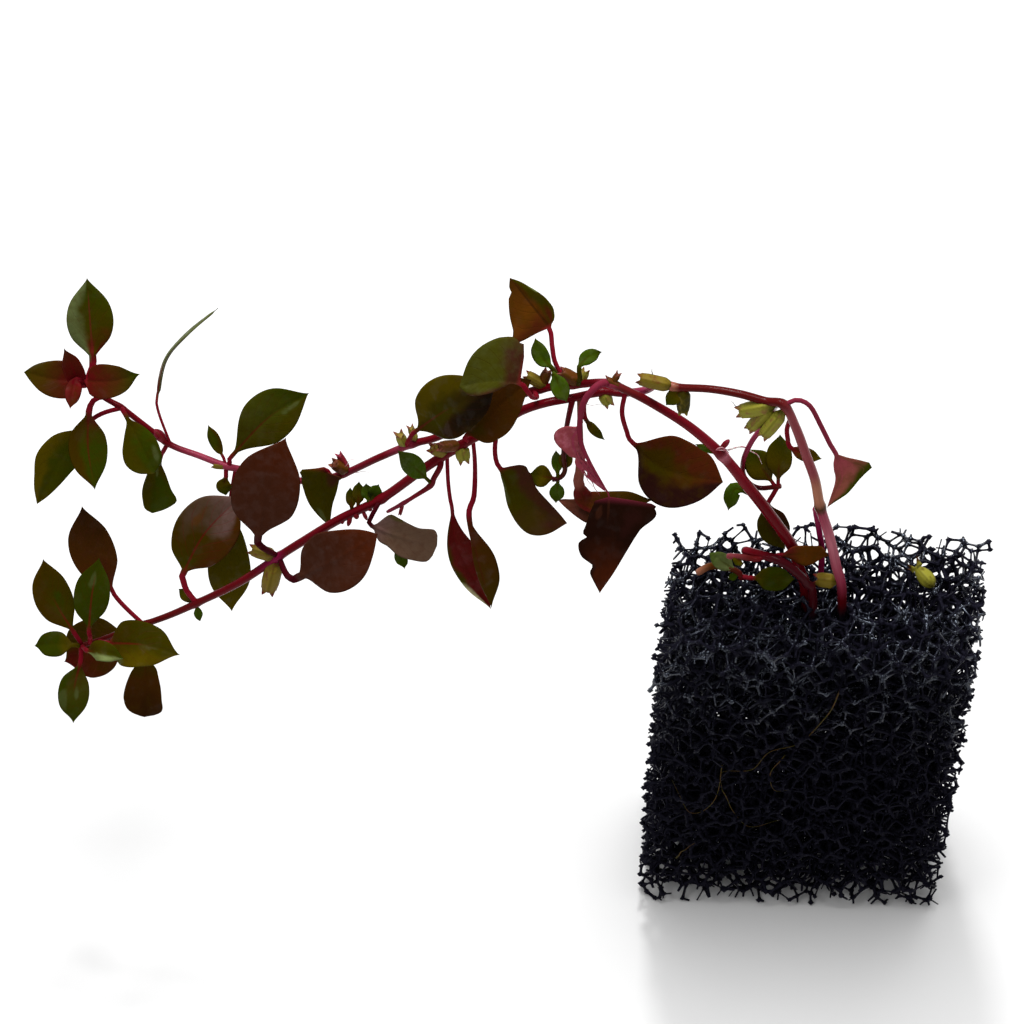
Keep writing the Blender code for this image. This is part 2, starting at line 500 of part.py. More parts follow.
def spot(place):
    """Real place in mm of a photo place (across, down, distance behind the slab's middle)."""
    across, down, back = place
    forward, right, up = view_axes()
    ray = (forward + (across - VIEW_MIDDLE_PIXEL) / VIEW_FOCAL_PIXELS * right
           - (down - VIEW_MIDDLE_PIXEL) / VIEW_FOCAL_PIXELS * up)
    return VIEW_PLACE + ray * (back - VIEW_PLACE[1]) / ray[1]


def smooth_route(places, step):
    """Evenly spaced places on a smooth curve through the given ones."""
    knots = np.array(places)
    ends = np.vstack((2 * knots[0] - knots[1], knots, 2 * knots[-1] - knots[-2]))
    t = np.linspace(0.0, 1.0, SPAN_PARTS, endpoint=False)[:, None]
    fine = [0.5 * (2 * b + (c - a) * t + (2 * a - 5 * b + 4 * c - d) * t ** 2
                   + (3 * b - a - 3 * c + d) * t ** 3)
            for a, b, c, d in zip(ends, ends[1:], ends[2:], ends[3:])]
    fine = np.vstack(fine + [knots[-1:]])
    run = np.concatenate(([0.0], np.cumsum(np.linalg.norm(np.diff(fine, axis=0), axis=1))))
    count = max(2, int(round(run[-1] / step)) + 1)
    even = np.linspace(0.0, run[-1], count)
    return np.column_stack([np.interp(even, run, fine[:, axis]) for axis in range(3)])


def clear_start(route, stem, radius):
    """The route from where it leaves its stem's surface by the joint gap."""
    if stem is None:
        return route
    axis, reach = stem
    away = np.array([np.min(np.linalg.norm(axis - place, axis=1) - reach) for place in route])
    inside = np.nonzero(away < JOINT_GAP + radius)[0]
    return route[inside[-1] + 1:] if len(inside) else route


def directions(route):
    """Unit direction of travel at each place of a route."""
    ahead = np.gradient(route, axis=0)
    return ahead / np.linalg.norm(ahead, axis=1)[:, None]


def unit(vector):
    """The vector at length 1."""
    return vector / np.linalg.norm(vector)


def rings(route, radii, sides):
    """Round sections along a route, turned as little as possible from one to the next."""
    ahead = directions(route)
    side = unit(np.cross(ahead[0], FIRST_SIDE))
    angles = np.arange(sides) * 2 * math.pi / sides
    result = []
    for place, forward, radius in zip(route, ahead, radii):
        side = unit(side - forward * side.dot(forward))
        other = np.cross(forward, side)
        result.append(place + radius * (np.cos(angles)[:, None] * side
                                        + np.sin(angles)[:, None] * other))
    return result


def skin(name, sections):
    """A closed mesh object through the sections, in order, with flat ends."""
    mesh = bpy.data.meshes.new(name)
    built = bmesh.new()
    loops = [[built.verts.new(point * MM) for point in section] for section in sections]
    for low, high in zip(loops, loops[1:]):
        for here in range(len(low)):
            after = (here + 1) % len(low)
            built.faces.new((low[here], low[after], high[after], high[here]))
    built.faces.new(loops[0][::-1])
    built.faces.new(loops[-1])
    bmesh.ops.recalc_face_normals(built, faces=built.faces)
    built.to_mesh(mesh)
    built.free()
    mesh.shade_smooth()
    made = bpy.data.objects.new(name, mesh)
    bpy.context.scene.collection.objects.link(made)
    return made


def dress(made, tone, roughness):
    """Give an object a material of its own."""
    material = bpy.data.materials.new(made.name)
    material.use_nodes = True
    shader = material.node_tree.nodes["Principled BSDF"]
    shader.inputs["Base Color"].default_value = (*tone, 1.0)
    shader.inputs["Roughness"].default_value = roughness
    made.data.materials.append(material)


def hide_tool(tool):
    """Mark an object as a modelling tool that isn't part of the plant."""
    tool.hide_render = True
    tool.display_type = "WIRE"


def combine(target, tool, operation):
    """Fuse a tool's shape to the target, or cut it out."""
    hide_tool(tool)
    change = target.modifiers.new(tool.name, "BOOLEAN")
    change.operation = operation
    change.solver = "EXACT"
    change.object = tool


def stem_route(stem):
    """A stem's real route, with the stretch in the foam before its first place."""
    places = [spot(place) for place in stem.route]
    if stem.buried:
        lean_x, lean_y = stem.buried
        places.insert(0, places[0] + np.array((lean_x, lean_y, -HOLE_DEEP)))
    return np.array(places)


def stem_radii(stem, count):
    """Radius at each of the evenly spaced places along a stem."""
    return np.interp(np.linspace(0, 1, count), np.linspace(0, 1, len(stem.radii)), stem.radii)


def stem_axes():
    """Each stem's fine middle line and its radius along it, by name."""
    axes = {}
    for stem in STEMS:
        line = smooth_route(stem_route(stem), AXIS_STEP)
        axes[stem.name] = (line, stem_radii(stem, len(line)))
    return axes


def bud_object(bud, name):
    """A spindle from the stem's middle to the bud's tip, its thin side to the viewer."""
    start, end = spot(bud.base), spot(bud.tip)
    before = BUD_BEFORE * bud.fat_at
    after = bud.fat_at + BUD_AFTER * (1.0 - bud.fat_at)
    swell = np.array(BUD_SWELL) * bud.radius
    angles = np.arange(BUD_SIDES) * 2 * math.pi / BUD_SIDES
    forward = unit(end - start)
    sections = []
    for station, radius in zip((0.0, before, after, 1.0), swell):
        place = start + station * (end - start)
        right, out = leaf_frame(place, forward, 0.0)
        depth = max(radius * bud.thin, min(radius, BUD_LEAST))
        sections.append(place + radius * np.cos(angles)[:, None] * right
                        + depth * np.sin(angles)[:, None] * out)
    return skin(name, sections)


def make_stem(stem, axes):
    """A stem with its buds fused on."""
    route = stem_route(stem)
    if stem.on:
        fine = smooth_route(route, FINE_STEP)
        if stem.buried:
            fine = clear_start(fine[::-1], axes[stem.on], stem.radii[-1])[::-1]
        else:
            fine = clear_start(fine, axes[stem.on], stem.radii[0])
        route = fine[::SHOOT_EVERY]
    route = smooth_route(route, STEM_STEP if max(stem.radii) > THICK_STEM else SHOOT_STEP)
    made = skin(stem.name, rings(route, stem_radii(stem, len(route)), STEM_SIDES))
    dress(made, STEM_TONES.get(stem.name, STEM_CRIMSON), STEM_ROUGH)
    for number, bud in enumerate(bud for bud in BUDS if bud.on == stem.name):
        combine(made, bud_object(bud, f"{stem.name}_bud_{number}"), "UNION")
    return made


def blade_halves(along, leaf):
    """Half widths left and right of the midrib at shares of the blade's length."""
    if leaf.left:
        stations = (0.0, *leaf.stations)
        return (np.interp(along, stations, (0.0, *leaf.left)),
                np.interp(along, stations, (0.0, *leaf.right)))
    power = math.log(0.5) / math.log(leaf.peak)
    width = leaf.wide * np.abs(np.sin(math.pi * along ** power)) ** leaf.full
    return width * (1.0 - leaf.share), width * leaf.share


def leaf_frame(place, forward, roll):
    """Across and out directions of a blade that faces the viewer, rolled by an angle."""
    out = VIEW_PLACE - place
    out = unit(out - forward * out.dot(forward))
    right = np.cross(forward, out)
    angle = math.radians(roll)
    return (right * math.cos(angle) + out * math.sin(angle),
            out * math.cos(angle) - right * math.sin(angle))


def leaf_section(place, frame, halves, lift, fold, points):
    """One section of a leaf: thin edges at both sides, thickest at the midrib."""
    right, out = frame
    section = []
    for across, above in points:
        half = halves[1] if across > 0 else halves[0]
        sign = 1.0 if across > 0 else -1.0
        wing = right * sign * math.cos(fold) + out * math.sin(fold)
        normal = out * math.cos(fold) - right * sign * math.sin(fold)
        if across == 0:
            wing, normal = right, out
        section.append(place + wing * abs(across) * half + normal * above * lift)
    return np.array(section)


def make_leaf(leaf, axes):
    """A leaf as one closed solid, from the joint gap at its stem to its tip."""
    stalk = np.array([spot(place) for place in leaf.stalk])
    blade = np.array([spot(place) for place in leaf.blade])
    whole = smooth_route(np.vstack((stalk, blade)), FINE_STEP)
    split = np.argmin(np.linalg.norm(whole - blade[0], axis=1))
    first = len(whole) - len(clear_start(whole, axes.get(leaf.on), leaf.stalk_radius))
    petiole, midrib = whole[first:split], whole[split:]
    start = max(0.0, (first - split) / (len(midrib) - 1))
    cuts = (0.0, *leaf.stations) if leaf.left else BLADE_STATIONS
    blade_along = start + (1.0 - start) * np.array(cuts)
    run = np.linspace(0.0, 1.0, len(midrib))
    stations = [np.interp(blade_along, run, midrib[:, axis]) for axis in range(3)]
    small = leaf.wide < SMALL_LEAF
    points = NARROW_SECTION if small else BROAD_SECTION
    bits = int(len(petiole) * FINE_STEP / STALK_STEP) + 1 if len(petiole) > 3 else 0
    picks = np.linspace(0, len(petiole), bits, endpoint=False).astype(int)
    route = np.vstack((petiole[picks], np.column_stack(stations)))
    along = np.concatenate((np.zeros(bits), blade_along))
    ahead = directions(route)
    lefts, rights = blade_halves(along, leaf)
    sections = []
    for number, (place, forward) in enumerate(zip(route, ahead)):
        stalk_part = leaf.stalk_radius * (1.0 - along[number]) ** STALK_TAPER
        lift = max(stalk_part, 0.5 * BLADE_THICK) if along[number] < 1 else BLADE_EDGE
        least = max(stalk_part, BLADE_EDGE)
        halves = (max(least, lefts[number]), max(least, rights[number]))
        spread = lefts[number] + rights[number]
        fold = math.radians(leaf.fold) * min(1.0, spread / (0.5 * leaf.wide))
        frame = leaf_frame(place, forward, leaf.turn)
        sections.append(leaf_section(place, frame, halves, lift, fold, points))
    made = skin(leaf.name, sections)
    dress(made, leaf.tone, LEAF_ROUGH)
    return made


def block_place(u, v, w):
    """Place in the hand-cut slab for shares of its width, depth and height."""
    place = np.array(((u - 0.5) * BLOCK_WIDE, (v - 0.5) * BLOCK_DEEP, w * BLOCK_TALL))
    for corner, shift in CORNER_SHIFTS.items():
        weight = 1.0
        for share, end in zip((u, v, w), corner):
            weight *= share if end else 1.0 - share
        place = place + weight * np.array(shift)
    return place


def block_ripple(place):
    """Uneven hand-cut surface: a small offset that varies along the slab, in mm."""
    return BLOCK_UNEVEN * np.array([
        sum(high * math.sin(np.dot(turns, place) + start) for *turns, start, high in ripples)
        for ripples in BLOCK_RIPPLES
    ])


def block_lip(u, v, w):
    """How far the top's back edge stands up: most in the middle, nothing at its corners."""
    on_edge = min(v, w) - 0.5 > BLOCK_FACE
    return BLOCK_LIP * on_edge * (1.0 - (2.0 * u - 1.0) ** 2) ** 2


def make_block():
    """The foam slab: a finely divided box with uneven faces and a flat foot."""
    bpy.ops.mesh.primitive_cube_add(size=1.0)
    made = bpy.context.object
    made.name = "foam_block"
    made.data.name = "foam_block"
    counts = [int(round(size / BLOCK_CELL)) for size in (BLOCK_WIDE, BLOCK_DEEP, BLOCK_TALL)]
    built = bmesh.new()
    built.from_mesh(made.data)
    for axis, count in enumerate(counts):
        edges = [edge for edge in built.edges
                 if abs(edge.verts[0].co[axis] - edge.verts[1].co[axis]) > 0.5]
        bmesh.ops.subdivide_edges(built, edges=edges, cuts=count - 1, use_grid_fill=True)
    for vert in built.verts:
        u, v, w = (value + 0.5 for value in vert.co)
        place = block_place(u, v, w)
        ripple = block_ripple(place)
        on_foot = w < 1e-6
        place[0] += ripple[0] * (abs(u - 0.5) > BLOCK_FACE)
        place[1] += ripple[1] * (abs(v - 0.5) > BLOCK_FACE)
        place[2] += ripple[2] * (w - 0.5 > BLOCK_FACE) + block_lip(u, v, w)
        if on_foot:
            place[2] = 0.0
        vert.co = place * MM
    built.to_mesh(made.data)
    built.free()
    dress(made, FOAM_BLACK, FOAM_ROUGH)
    return made


def cut_holes(block):
    """Cut the blind holes in the foam where the stems go in."""
    for stem in STEMS:
        if not stem.buried:
            continue
        route = smooth_route(stem_route(stem), HOLE_STEP)
        tops = np.nonzero(route[:, 2] > BLOCK_TALL + HOLE_ABOVE)[0]
        route = route[:tops[0] + 1]
        below = route[0] + unit(route[0] - route[1]) * HOLE_CLEAR
        route = np.vstack((below, route[1:]))
        radii = np.full(len(route), stem.radii[0] + HOLE_CLEAR)
        hole = skin(f"{stem.name}_hole", rings(route, radii, HOLE_SIDES))
        combine(block, hole, "DIFFERENCE")


def clear_scene():
    """Remove whatever the scene starts with."""
    for old in list(bpy.data.objects):
        bpy.data.objects.remove(old, do_unlink=True)


def main():
    """Build the slab, the stems and the leaves."""
    clear_scene()
    axes = stem_axes()
    block = make_block()
    cut_holes(block)
    for stem in STEMS:
        make_stem(stem, axes)
    capsule = bud_object(FALLEN_CAPSULE, "fallen_capsule")
    dress(capsule, CAPSULE_YELLOW, CAPSULE_ROUGH)
    extras = {"upper_leaf_dark_torn": TORN_WING, "lower_leaf_folded_brown": FOLDED_CORNER}
    for leaf in LEAVES:
        made = make_leaf(leaf, axes)
        if leaf.name in extras:
            combine(made, make_leaf(extras[leaf.name], axes), "UNION")


main()
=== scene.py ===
"""Looks of a red ludwigia rooted in a slab of black open-cell foam.

Places on the plant are written as they are seen in a 1024 x 1024 photograph, with their
distance behind the slab's middle in millimetres, and `PhotoView.spots` turns them into real
places. Shapes are worked out as whole numpy arrays: a leaf is a closed skin round its curved
midrib, a stem is a skin round its route, and the foam is the set of edges where the bubbles
of a loose body-centred packing meet, cut to the slab.
"""
import itertools
import logging
import math
from dataclasses import dataclass
from enum import Enum

import bpy
import numpy as np
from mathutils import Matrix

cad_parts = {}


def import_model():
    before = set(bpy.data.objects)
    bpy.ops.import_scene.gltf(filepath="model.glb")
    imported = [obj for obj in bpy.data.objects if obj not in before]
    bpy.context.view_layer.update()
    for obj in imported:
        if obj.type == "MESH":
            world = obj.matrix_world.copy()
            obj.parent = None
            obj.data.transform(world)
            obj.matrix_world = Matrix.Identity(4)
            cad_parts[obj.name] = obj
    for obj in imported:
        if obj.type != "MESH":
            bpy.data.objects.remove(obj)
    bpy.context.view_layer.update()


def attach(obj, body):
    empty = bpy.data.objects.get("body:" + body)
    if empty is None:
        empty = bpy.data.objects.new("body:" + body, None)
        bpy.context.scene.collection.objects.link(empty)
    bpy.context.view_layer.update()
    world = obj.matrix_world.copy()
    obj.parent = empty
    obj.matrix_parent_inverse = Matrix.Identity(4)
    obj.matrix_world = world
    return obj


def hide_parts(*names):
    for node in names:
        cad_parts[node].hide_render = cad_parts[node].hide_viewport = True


MM = 0.001
BODY = "root"
STUDIO_LIGHT = 1.03
TINY = 1e-12
SPAN_STEPS = 24
FEWEST_PLACES = 3
Array = np.ndarray
Place = tuple[float, float, float]
Socket = bpy.types.NodeSocket
log = logging.getLogger("ludwigia")


class Tone(Enum):
    """Colours of the plant and the foam as the eye sees them, in 8-bit steps."""

    FOAM = (24, 23, 33)
    FOAM_DUST = (33, 33, 44)
    FOAM_SHINE = (222, 236, 255)
    GREEN = (46, 54, 2)
    DEEP_GREEN = (28, 34, 4)
    FRESH_GREEN = (56, 76, 8)
    MOSS = (62, 61, 12)
    # GREY_GREEN is the own colour of some blades and backs, and painted sheen in blotches and
    # half blades.
    GREY_GREEN = (84, 92, 52)
    PALE_GREEN = (112, 124, 72)
    OLIVE = (55, 50, 1)
    YELLOW_OLIVE = (74, 62, 2)
    BROWN_OLIVE = (58, 42, 1)
    BROWN = (66, 36, 6)
    ORANGE_BROWN = (88, 48, 8)
    DARK_BROWN = (44, 24, 6)
    RED_BROWN = (70, 28, 10)
    PURPLE_BROWN = (62, 32, 20)
    # PURPLE_GREY on the red-midribbed leaf is painted sheen.
    PURPLE_GREY = (96, 72, 66)
    GREY_BROWN = (84, 64, 50)
    DARK_PURPLE = (38, 16, 12)
    NEAR_BLACK = (26, 17, 9)
    DEEP_RED = (84, 15, 13)
    BRIGHT_CRIMSON = (120, 18, 32)
    FUCHSIA = (122, 38, 56)
    CRIMSON = (98, 6, 17)
    DARK_CRIMSON = (60, 8, 16)
    BROWN_CRIMSON = (94, 26, 24)
    DUSTY_PINK = (140, 62, 68)
    ROSE = (150, 54, 76)
    PALE_ROSE = (184, 104, 118)
    PINK = (150, 48, 80)
    MAGENTA = (124, 14, 62)
    MAROON = (30, 13, 7)
    TAN = (170, 110, 84)
    RED_TAN = (126, 68, 56)
    CREAM = (176, 168, 128)
    OCHRE = (116, 98, 28)
    YELLOW_GREEN = (138, 134, 46)
    WHITE_FIBRE = (214, 204, 200)
    ROOT_BROWN = (74, 52, 24)

    @property
    def linear(self) -> tuple[float, float, float, float]:
        """The colour as the share of light that it returns, seen in the studio's light.

        With c from 0 to 1 that share is c / 12.92 up to 0.04045, and above it
        ((c + 0.055) / 1.055)^2.4.

        Returns:
            Red, green and blue shares, and 1 for a solid colour.
        """
        steps = [step / 255 for step in self.value]
        light = [step / 12.92 if step <= 0.04045 else ((step + 0.055) / 1.055) ** 2.4
                 for step in steps]
        return (*(share / STUDIO_LIGHT for share in light), 1.0)


@dataclass(frozen=True)
class PhotoView:
    """The photograph's camera: 0.6 m away, and looking down at the slab."""

    azimuth: float = math.radians(3.0)
    elevation: float = math.radians(52.0)
    stand: Place = (-36.4, -321.4, 513.3)
    focal_pixels: float = 3150.0
    frame_pixels: float = 1024.0
    sensor: float = 36.0
    nearest: float = 0.01
    farthest: float = 10.0

    def axes(self) -> tuple[Array, Array, Array]:
        """The camera's own axes.

        Returns:
            Unit directions forward, right and up.
        """
        flat = math.cos(self.elevation)
        forward = np.array((-math.sin(self.azimuth) * flat, math.cos(self.azimuth) * flat,
                            -math.sin(self.elevation)))
        right = np.array((math.cos(self.azimuth), math.sin(self.azimuth), 0.0))
        return forward, right, np.cross(right, forward)

    def spots(self, places: tuple[Place, ...]) -> Array:
        """Real places of photo places: each lies on its pixel's ray, `back` mm behind.

        Args:
            places: across and down in the photograph, and mm behind the slab's middle.

        Returns:
            One real place in mm a row.
        """
        across, down, back = np.array(places, float).T
        forward, right, up = self.axes()
        half = self.frame_pixels / 2
        rays = (forward + ((across - half) / self.focal_pixels)[:, None] * right
                - ((down - half) / self.focal_pixels)[:, None] * up)
        stand = np.array(self.stand)
        return stand + rays * ((back - stand[1]) / rays[:, 1])[:, None]

    def make_camera(self) -> None:
        """Put the camera where the photograph was taken from."""
        lens = bpy.data.cameras.new("camera")
        lens.sensor_width = self.sensor
        lens.lens = self.focal_pixels / self.frame_pixels * self.sensor
        lens.clip_start, lens.clip_end = self.nearest, self.farthest
        camera = bpy.data.objects.new("camera", lens)
        camera.location = [value * MM for value in self.stand]
        camera.rotation_euler = (math.pi / 2 - self.elevation, 0.0, self.azimuth)
        bpy.context.scene.collection.objects.link(camera)
        bpy.context.scene.camera = camera


VIEW = PhotoView()


def unit(vectors: Array) -> Array:
    """The vectors, each at length 1."""
    return vectors / np.maximum(np.linalg.norm(vectors, axis=-1, keepdims=True), TINY)


def travel(route: Array) -> Array:
    """Distance travelled along a route at each of its places."""
    steps = np.linalg.norm(np.diff(route, axis=0), axis=1)
    return np.concatenate(([0.0], np.cumsum(steps)))


def places_at(route: Array, where: Array) -> Array:
    """Places at given distances along a route, straight between its own places."""
    run = travel(route)
    return np.column_stack([np.interp(where, run, route[:, axis]) for axis in range(3)])


def smooth_route(knots: Array, step: float) -> Array:
    """Evenly spaced places on a smooth curve through the knots.

    Each span is the cubic that leaves a knot along the chord between its two neighbours.

    Args:
        knots: places that the curve passes through.
        step: distance in mm between the places returned, about.

    Returns:
        The places, first and last knot included.
    """
    count = len(knots) - 1
    ends = np.vstack((2 * knots[0] - knots[1], knots, 2 * knots[-1] - knots[-2]))
    a, b, c, d = (ends[first:first + count, None] for first in range(4))
    t = np.linspace(0.0, 1.0, SPAN_STEPS, endpoint=False)[None, :, None]
    fine = 0.5 * (2 * b + (c - a) * t + (2 * a - 5 * b + 4 * c - d) * t ** 2
                  + (3 * b - a - 3 * c + d) * t ** 3)
    fine = np.vstack((fine.reshape(-1, 3), knots[-1:]))
    length = travel(fine)[-1]
    places = max(FEWEST_PLACES, round(length / step) + 1)
    return places_at(fine, np.linspace(0.0, length, places))


def flow(where: Array, stations: Array, values: Array) -> Array:
    """A smooth curve through values at stations: cubics that share their end slopes.

    With t from 0 to 1 over a span, its end values a and b and its end slopes A and B times
    its length: (2t^3 - 3t^2 + 1) a + (t^3 - 2t^2 + t) A + (3t^2 - 2t^3) b + (t^3 - t^2) B.

    Args:
        where: where to read the curve.
        stations: where the values stand, rising.
        values: the value at each station.

    Returns:
        The curve's value at each place of `where`.
    """
    slopes = np.gradient(values, stations)
    span = np.clip(np.searchsorted(stations, where, side="right") - 1, 0, len(stations) - 2)
    wide = stations[span + 1] - stations[span]
    t = (where - stations[span]) / wide
    return ((2 * t ** 3 - 3 * t ** 2 + 1) * values[span]
            + (t ** 3 - 2 * t ** 2 + t) * wide * slopes[span]
            + (3 * t ** 2 - 2 * t ** 3) * values[span + 1]
            + (t ** 3 - t ** 2) * wide * slopes[span + 1])


def step_up(value: Array, low: float, high: float) -> Array:
    """0 below `low`, 1 above `high`, and t^2 (3 - 2t) between them."""
    t = np.clip((value - low) / (high - low), 0.0, 1.0)
    return t * t * (3 - 2 * t)


def facing_frames(route: Array, turn: float = 0.0) -> tuple[Array, Array]:
    """Across and out directions along a route that face the photograph's camera.

    Args:
        route: places in mm.
        turn: roll about the route, in degrees.

    Returns:
        Unit directions across the route and out of it, one a place.
    """
    ahead = unit(np.gradient(route, axis=0))
    out = np.array(VIEW.stand) - route
    out = unit(out - ahead * np.sum(out * ahead, axis=1, keepdims=True))
    right = np.cross(ahead, out)
    roll = math.radians(turn)
    return (right * math.cos(roll) + out * math.sin(roll),
            out * math.cos(roll) - right * math.sin(roll))


def turns(count: int) -> Array:
    """The angles of `count` points evenly round a circle."""
    return np.arange(count) * 2 * math.pi / count


def rings_about(line: Array, frames: tuple[Array, Array], reaches: tuple[Array, Array],
                angle: Array) -> Array:
    """Rings of points round a line: line + wide cos(angle) right - deep sin(angle) out.

    Args:
        line: places in mm, one a ring.
        frames: right and out directions, one a place or one for all.
        reaches: how wide and how deep the rings reach in mm, a row for each ring.
        angle: angles of a ring's points.

    Returns:
        Points as (ring, angle, coordinate).
    """
    right, out = (side[..., None, :] for side in frames)
    wide, deep = reaches
    return (line[:, None] + (wide * np.cos(angle))[..., None] * right
            - (deep * np.sin(angle))[..., None] * out)


def ring_faces(count: int, around: int) -> tuple[Array, Array]:
    """Faces of a closed skin: quads between rings, and fans to an end point at each end.

    Ring points come first, ring by ring, then the first and the last end point.

    Args:
        count: number of rings.
        around: points in each ring.

    Returns:
        The quads and the triangles, as rows of point numbers.
    """
    turn = np.arange(around)
    after = (turn + 1) % around
    base = np.arange(count - 1)[:, None] * around
    quads = np.stack((base + turn, base + after, base + after + around,
                      base + turn + around), axis=-1).reshape(-1, 4)
    last = (count - 1) * around
    start = np.full(around, count * around)
    fans = np.vstack((np.column_stack((start, after, turn)),
                      np.column_stack((start + 1, last + turn, last + after))))
    return quads, fans


@dataclass
class Surface:
    """Points in mm, faces by number of corners, and values that materials read."""

    points: Array
    faces: list[Array]
    values: dict[str, Array]

    @classmethod
    def closed(cls, rings: Array, values: dict[str, Array]) -> "Surface":
        """A closed skin over rings of points, with its two ends drawn to their middles.

        Args:
            rings: points as (ring, point, coordinate).
            values: for each name a value for every point of the rings.

        Returns:
            The skin, its end points after its rings.
        """
        count, around = rings.shape[:2]
        ends = rings[[0, -1]].mean(axis=1)
        points = np.vstack((rings.reshape(-1, 3), ends))
        every = {name: np.concatenate((given.ravel(), given[[0, -1]].mean(axis=1)))
                 for name, given in values.items()}
        return cls(points, list(ring_faces(count, around)), every)

    @classmethod
    def tube(cls, rings: Array, along: Array, around: Array) -> "Surface":
        """A closed skin that tells materials how far along and around each point lies.

        Args:
            rings: points as (ring, point, coordinate).
            along: one value a ring.
            around: one value a point of a ring.

        Returns:
            The skin.
        """
        shape = rings.shape[:2]
        return cls.closed(rings, {"along": np.broadcast_to(along[:, None], shape),
                                  "around": np.broadcast_to(around, shape)})

    @classmethod
    def joined(cls, parts: list["Surface"]) -> "Surface":
        """Several surfaces as one.

        Args:
            parts: surfaces that carry values of the same names.

        Returns:
            One surface with all their points and faces.
        """
        starts = np.cumsum([0] + [len(part.points) for part in parts[:-1]])
        faces = [face + start for part, start in zip(parts, starts) for face in part.faces]
        values = {name: np.concatenate([part.values[name] for part in parts])
                  for name in parts[0].values}
        return cls(np.vstack([part.points for part in parts]), faces, values)

    def make(self, name: str, material: bpy.types.Material, slot: str,
             nodes: tuple[str, ...]) -> None:
        """Make the surface a piece of the plant that stands for CAD nodes.

        Args:
            name: the piece's name.
            material: its finish.
            slot: a material slot's name, not used.
            nodes: the CAD nodes that it stands for.
        """
        corners = np.concatenate([face.ravel() for face in self.faces])
        sizes = np.concatenate([np.full(len(face), face.shape[1]) for face in self.faces])
        starts = np.concatenate(([0], np.cumsum(sizes)[:-1]))
        mesh = bpy.data.meshes.new(name)
        mesh.vertices.add(len(self.points))
        mesh.vertices.foreach_set("co", (self.points * MM).astype(np.float32).ravel())
        mesh.loops.add(len(corners))
        mesh.loops.foreach_set("vertex_index", corners.astype(np.int32))
        mesh.polygons.add(len(sizes))
        mesh.polygons.foreach_set("loop_start", starts.astype(np.int32))
        mesh.polygons.foreach_set("use_smooth", np.full(len(sizes), True))
        for title, given in self.values.items():
            layer = mesh.attributes.new(title, "FLOAT", "POINT")
            layer.data.foreach_set("value", given.astype(np.float32))
        mesh.update(calc_edges=True)
        mesh.validate()
        mesh.materials.append(material)
        piece = bpy.data.objects.new(name, mesh)
        bpy.context.scene.collection.objects.link(piece)
        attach(piece, BODY)
        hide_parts(*nodes)
        log.info("%s: %d points, %d faces", name, len(self.points), len(sizes))


@dataclass(frozen=True)
class Grain:
    """Soft random lumps `size` mm across, with finer ones on them, each `rough` as strong."""

    size: float
    detail: float = 2.0
    rough: float = 0.5


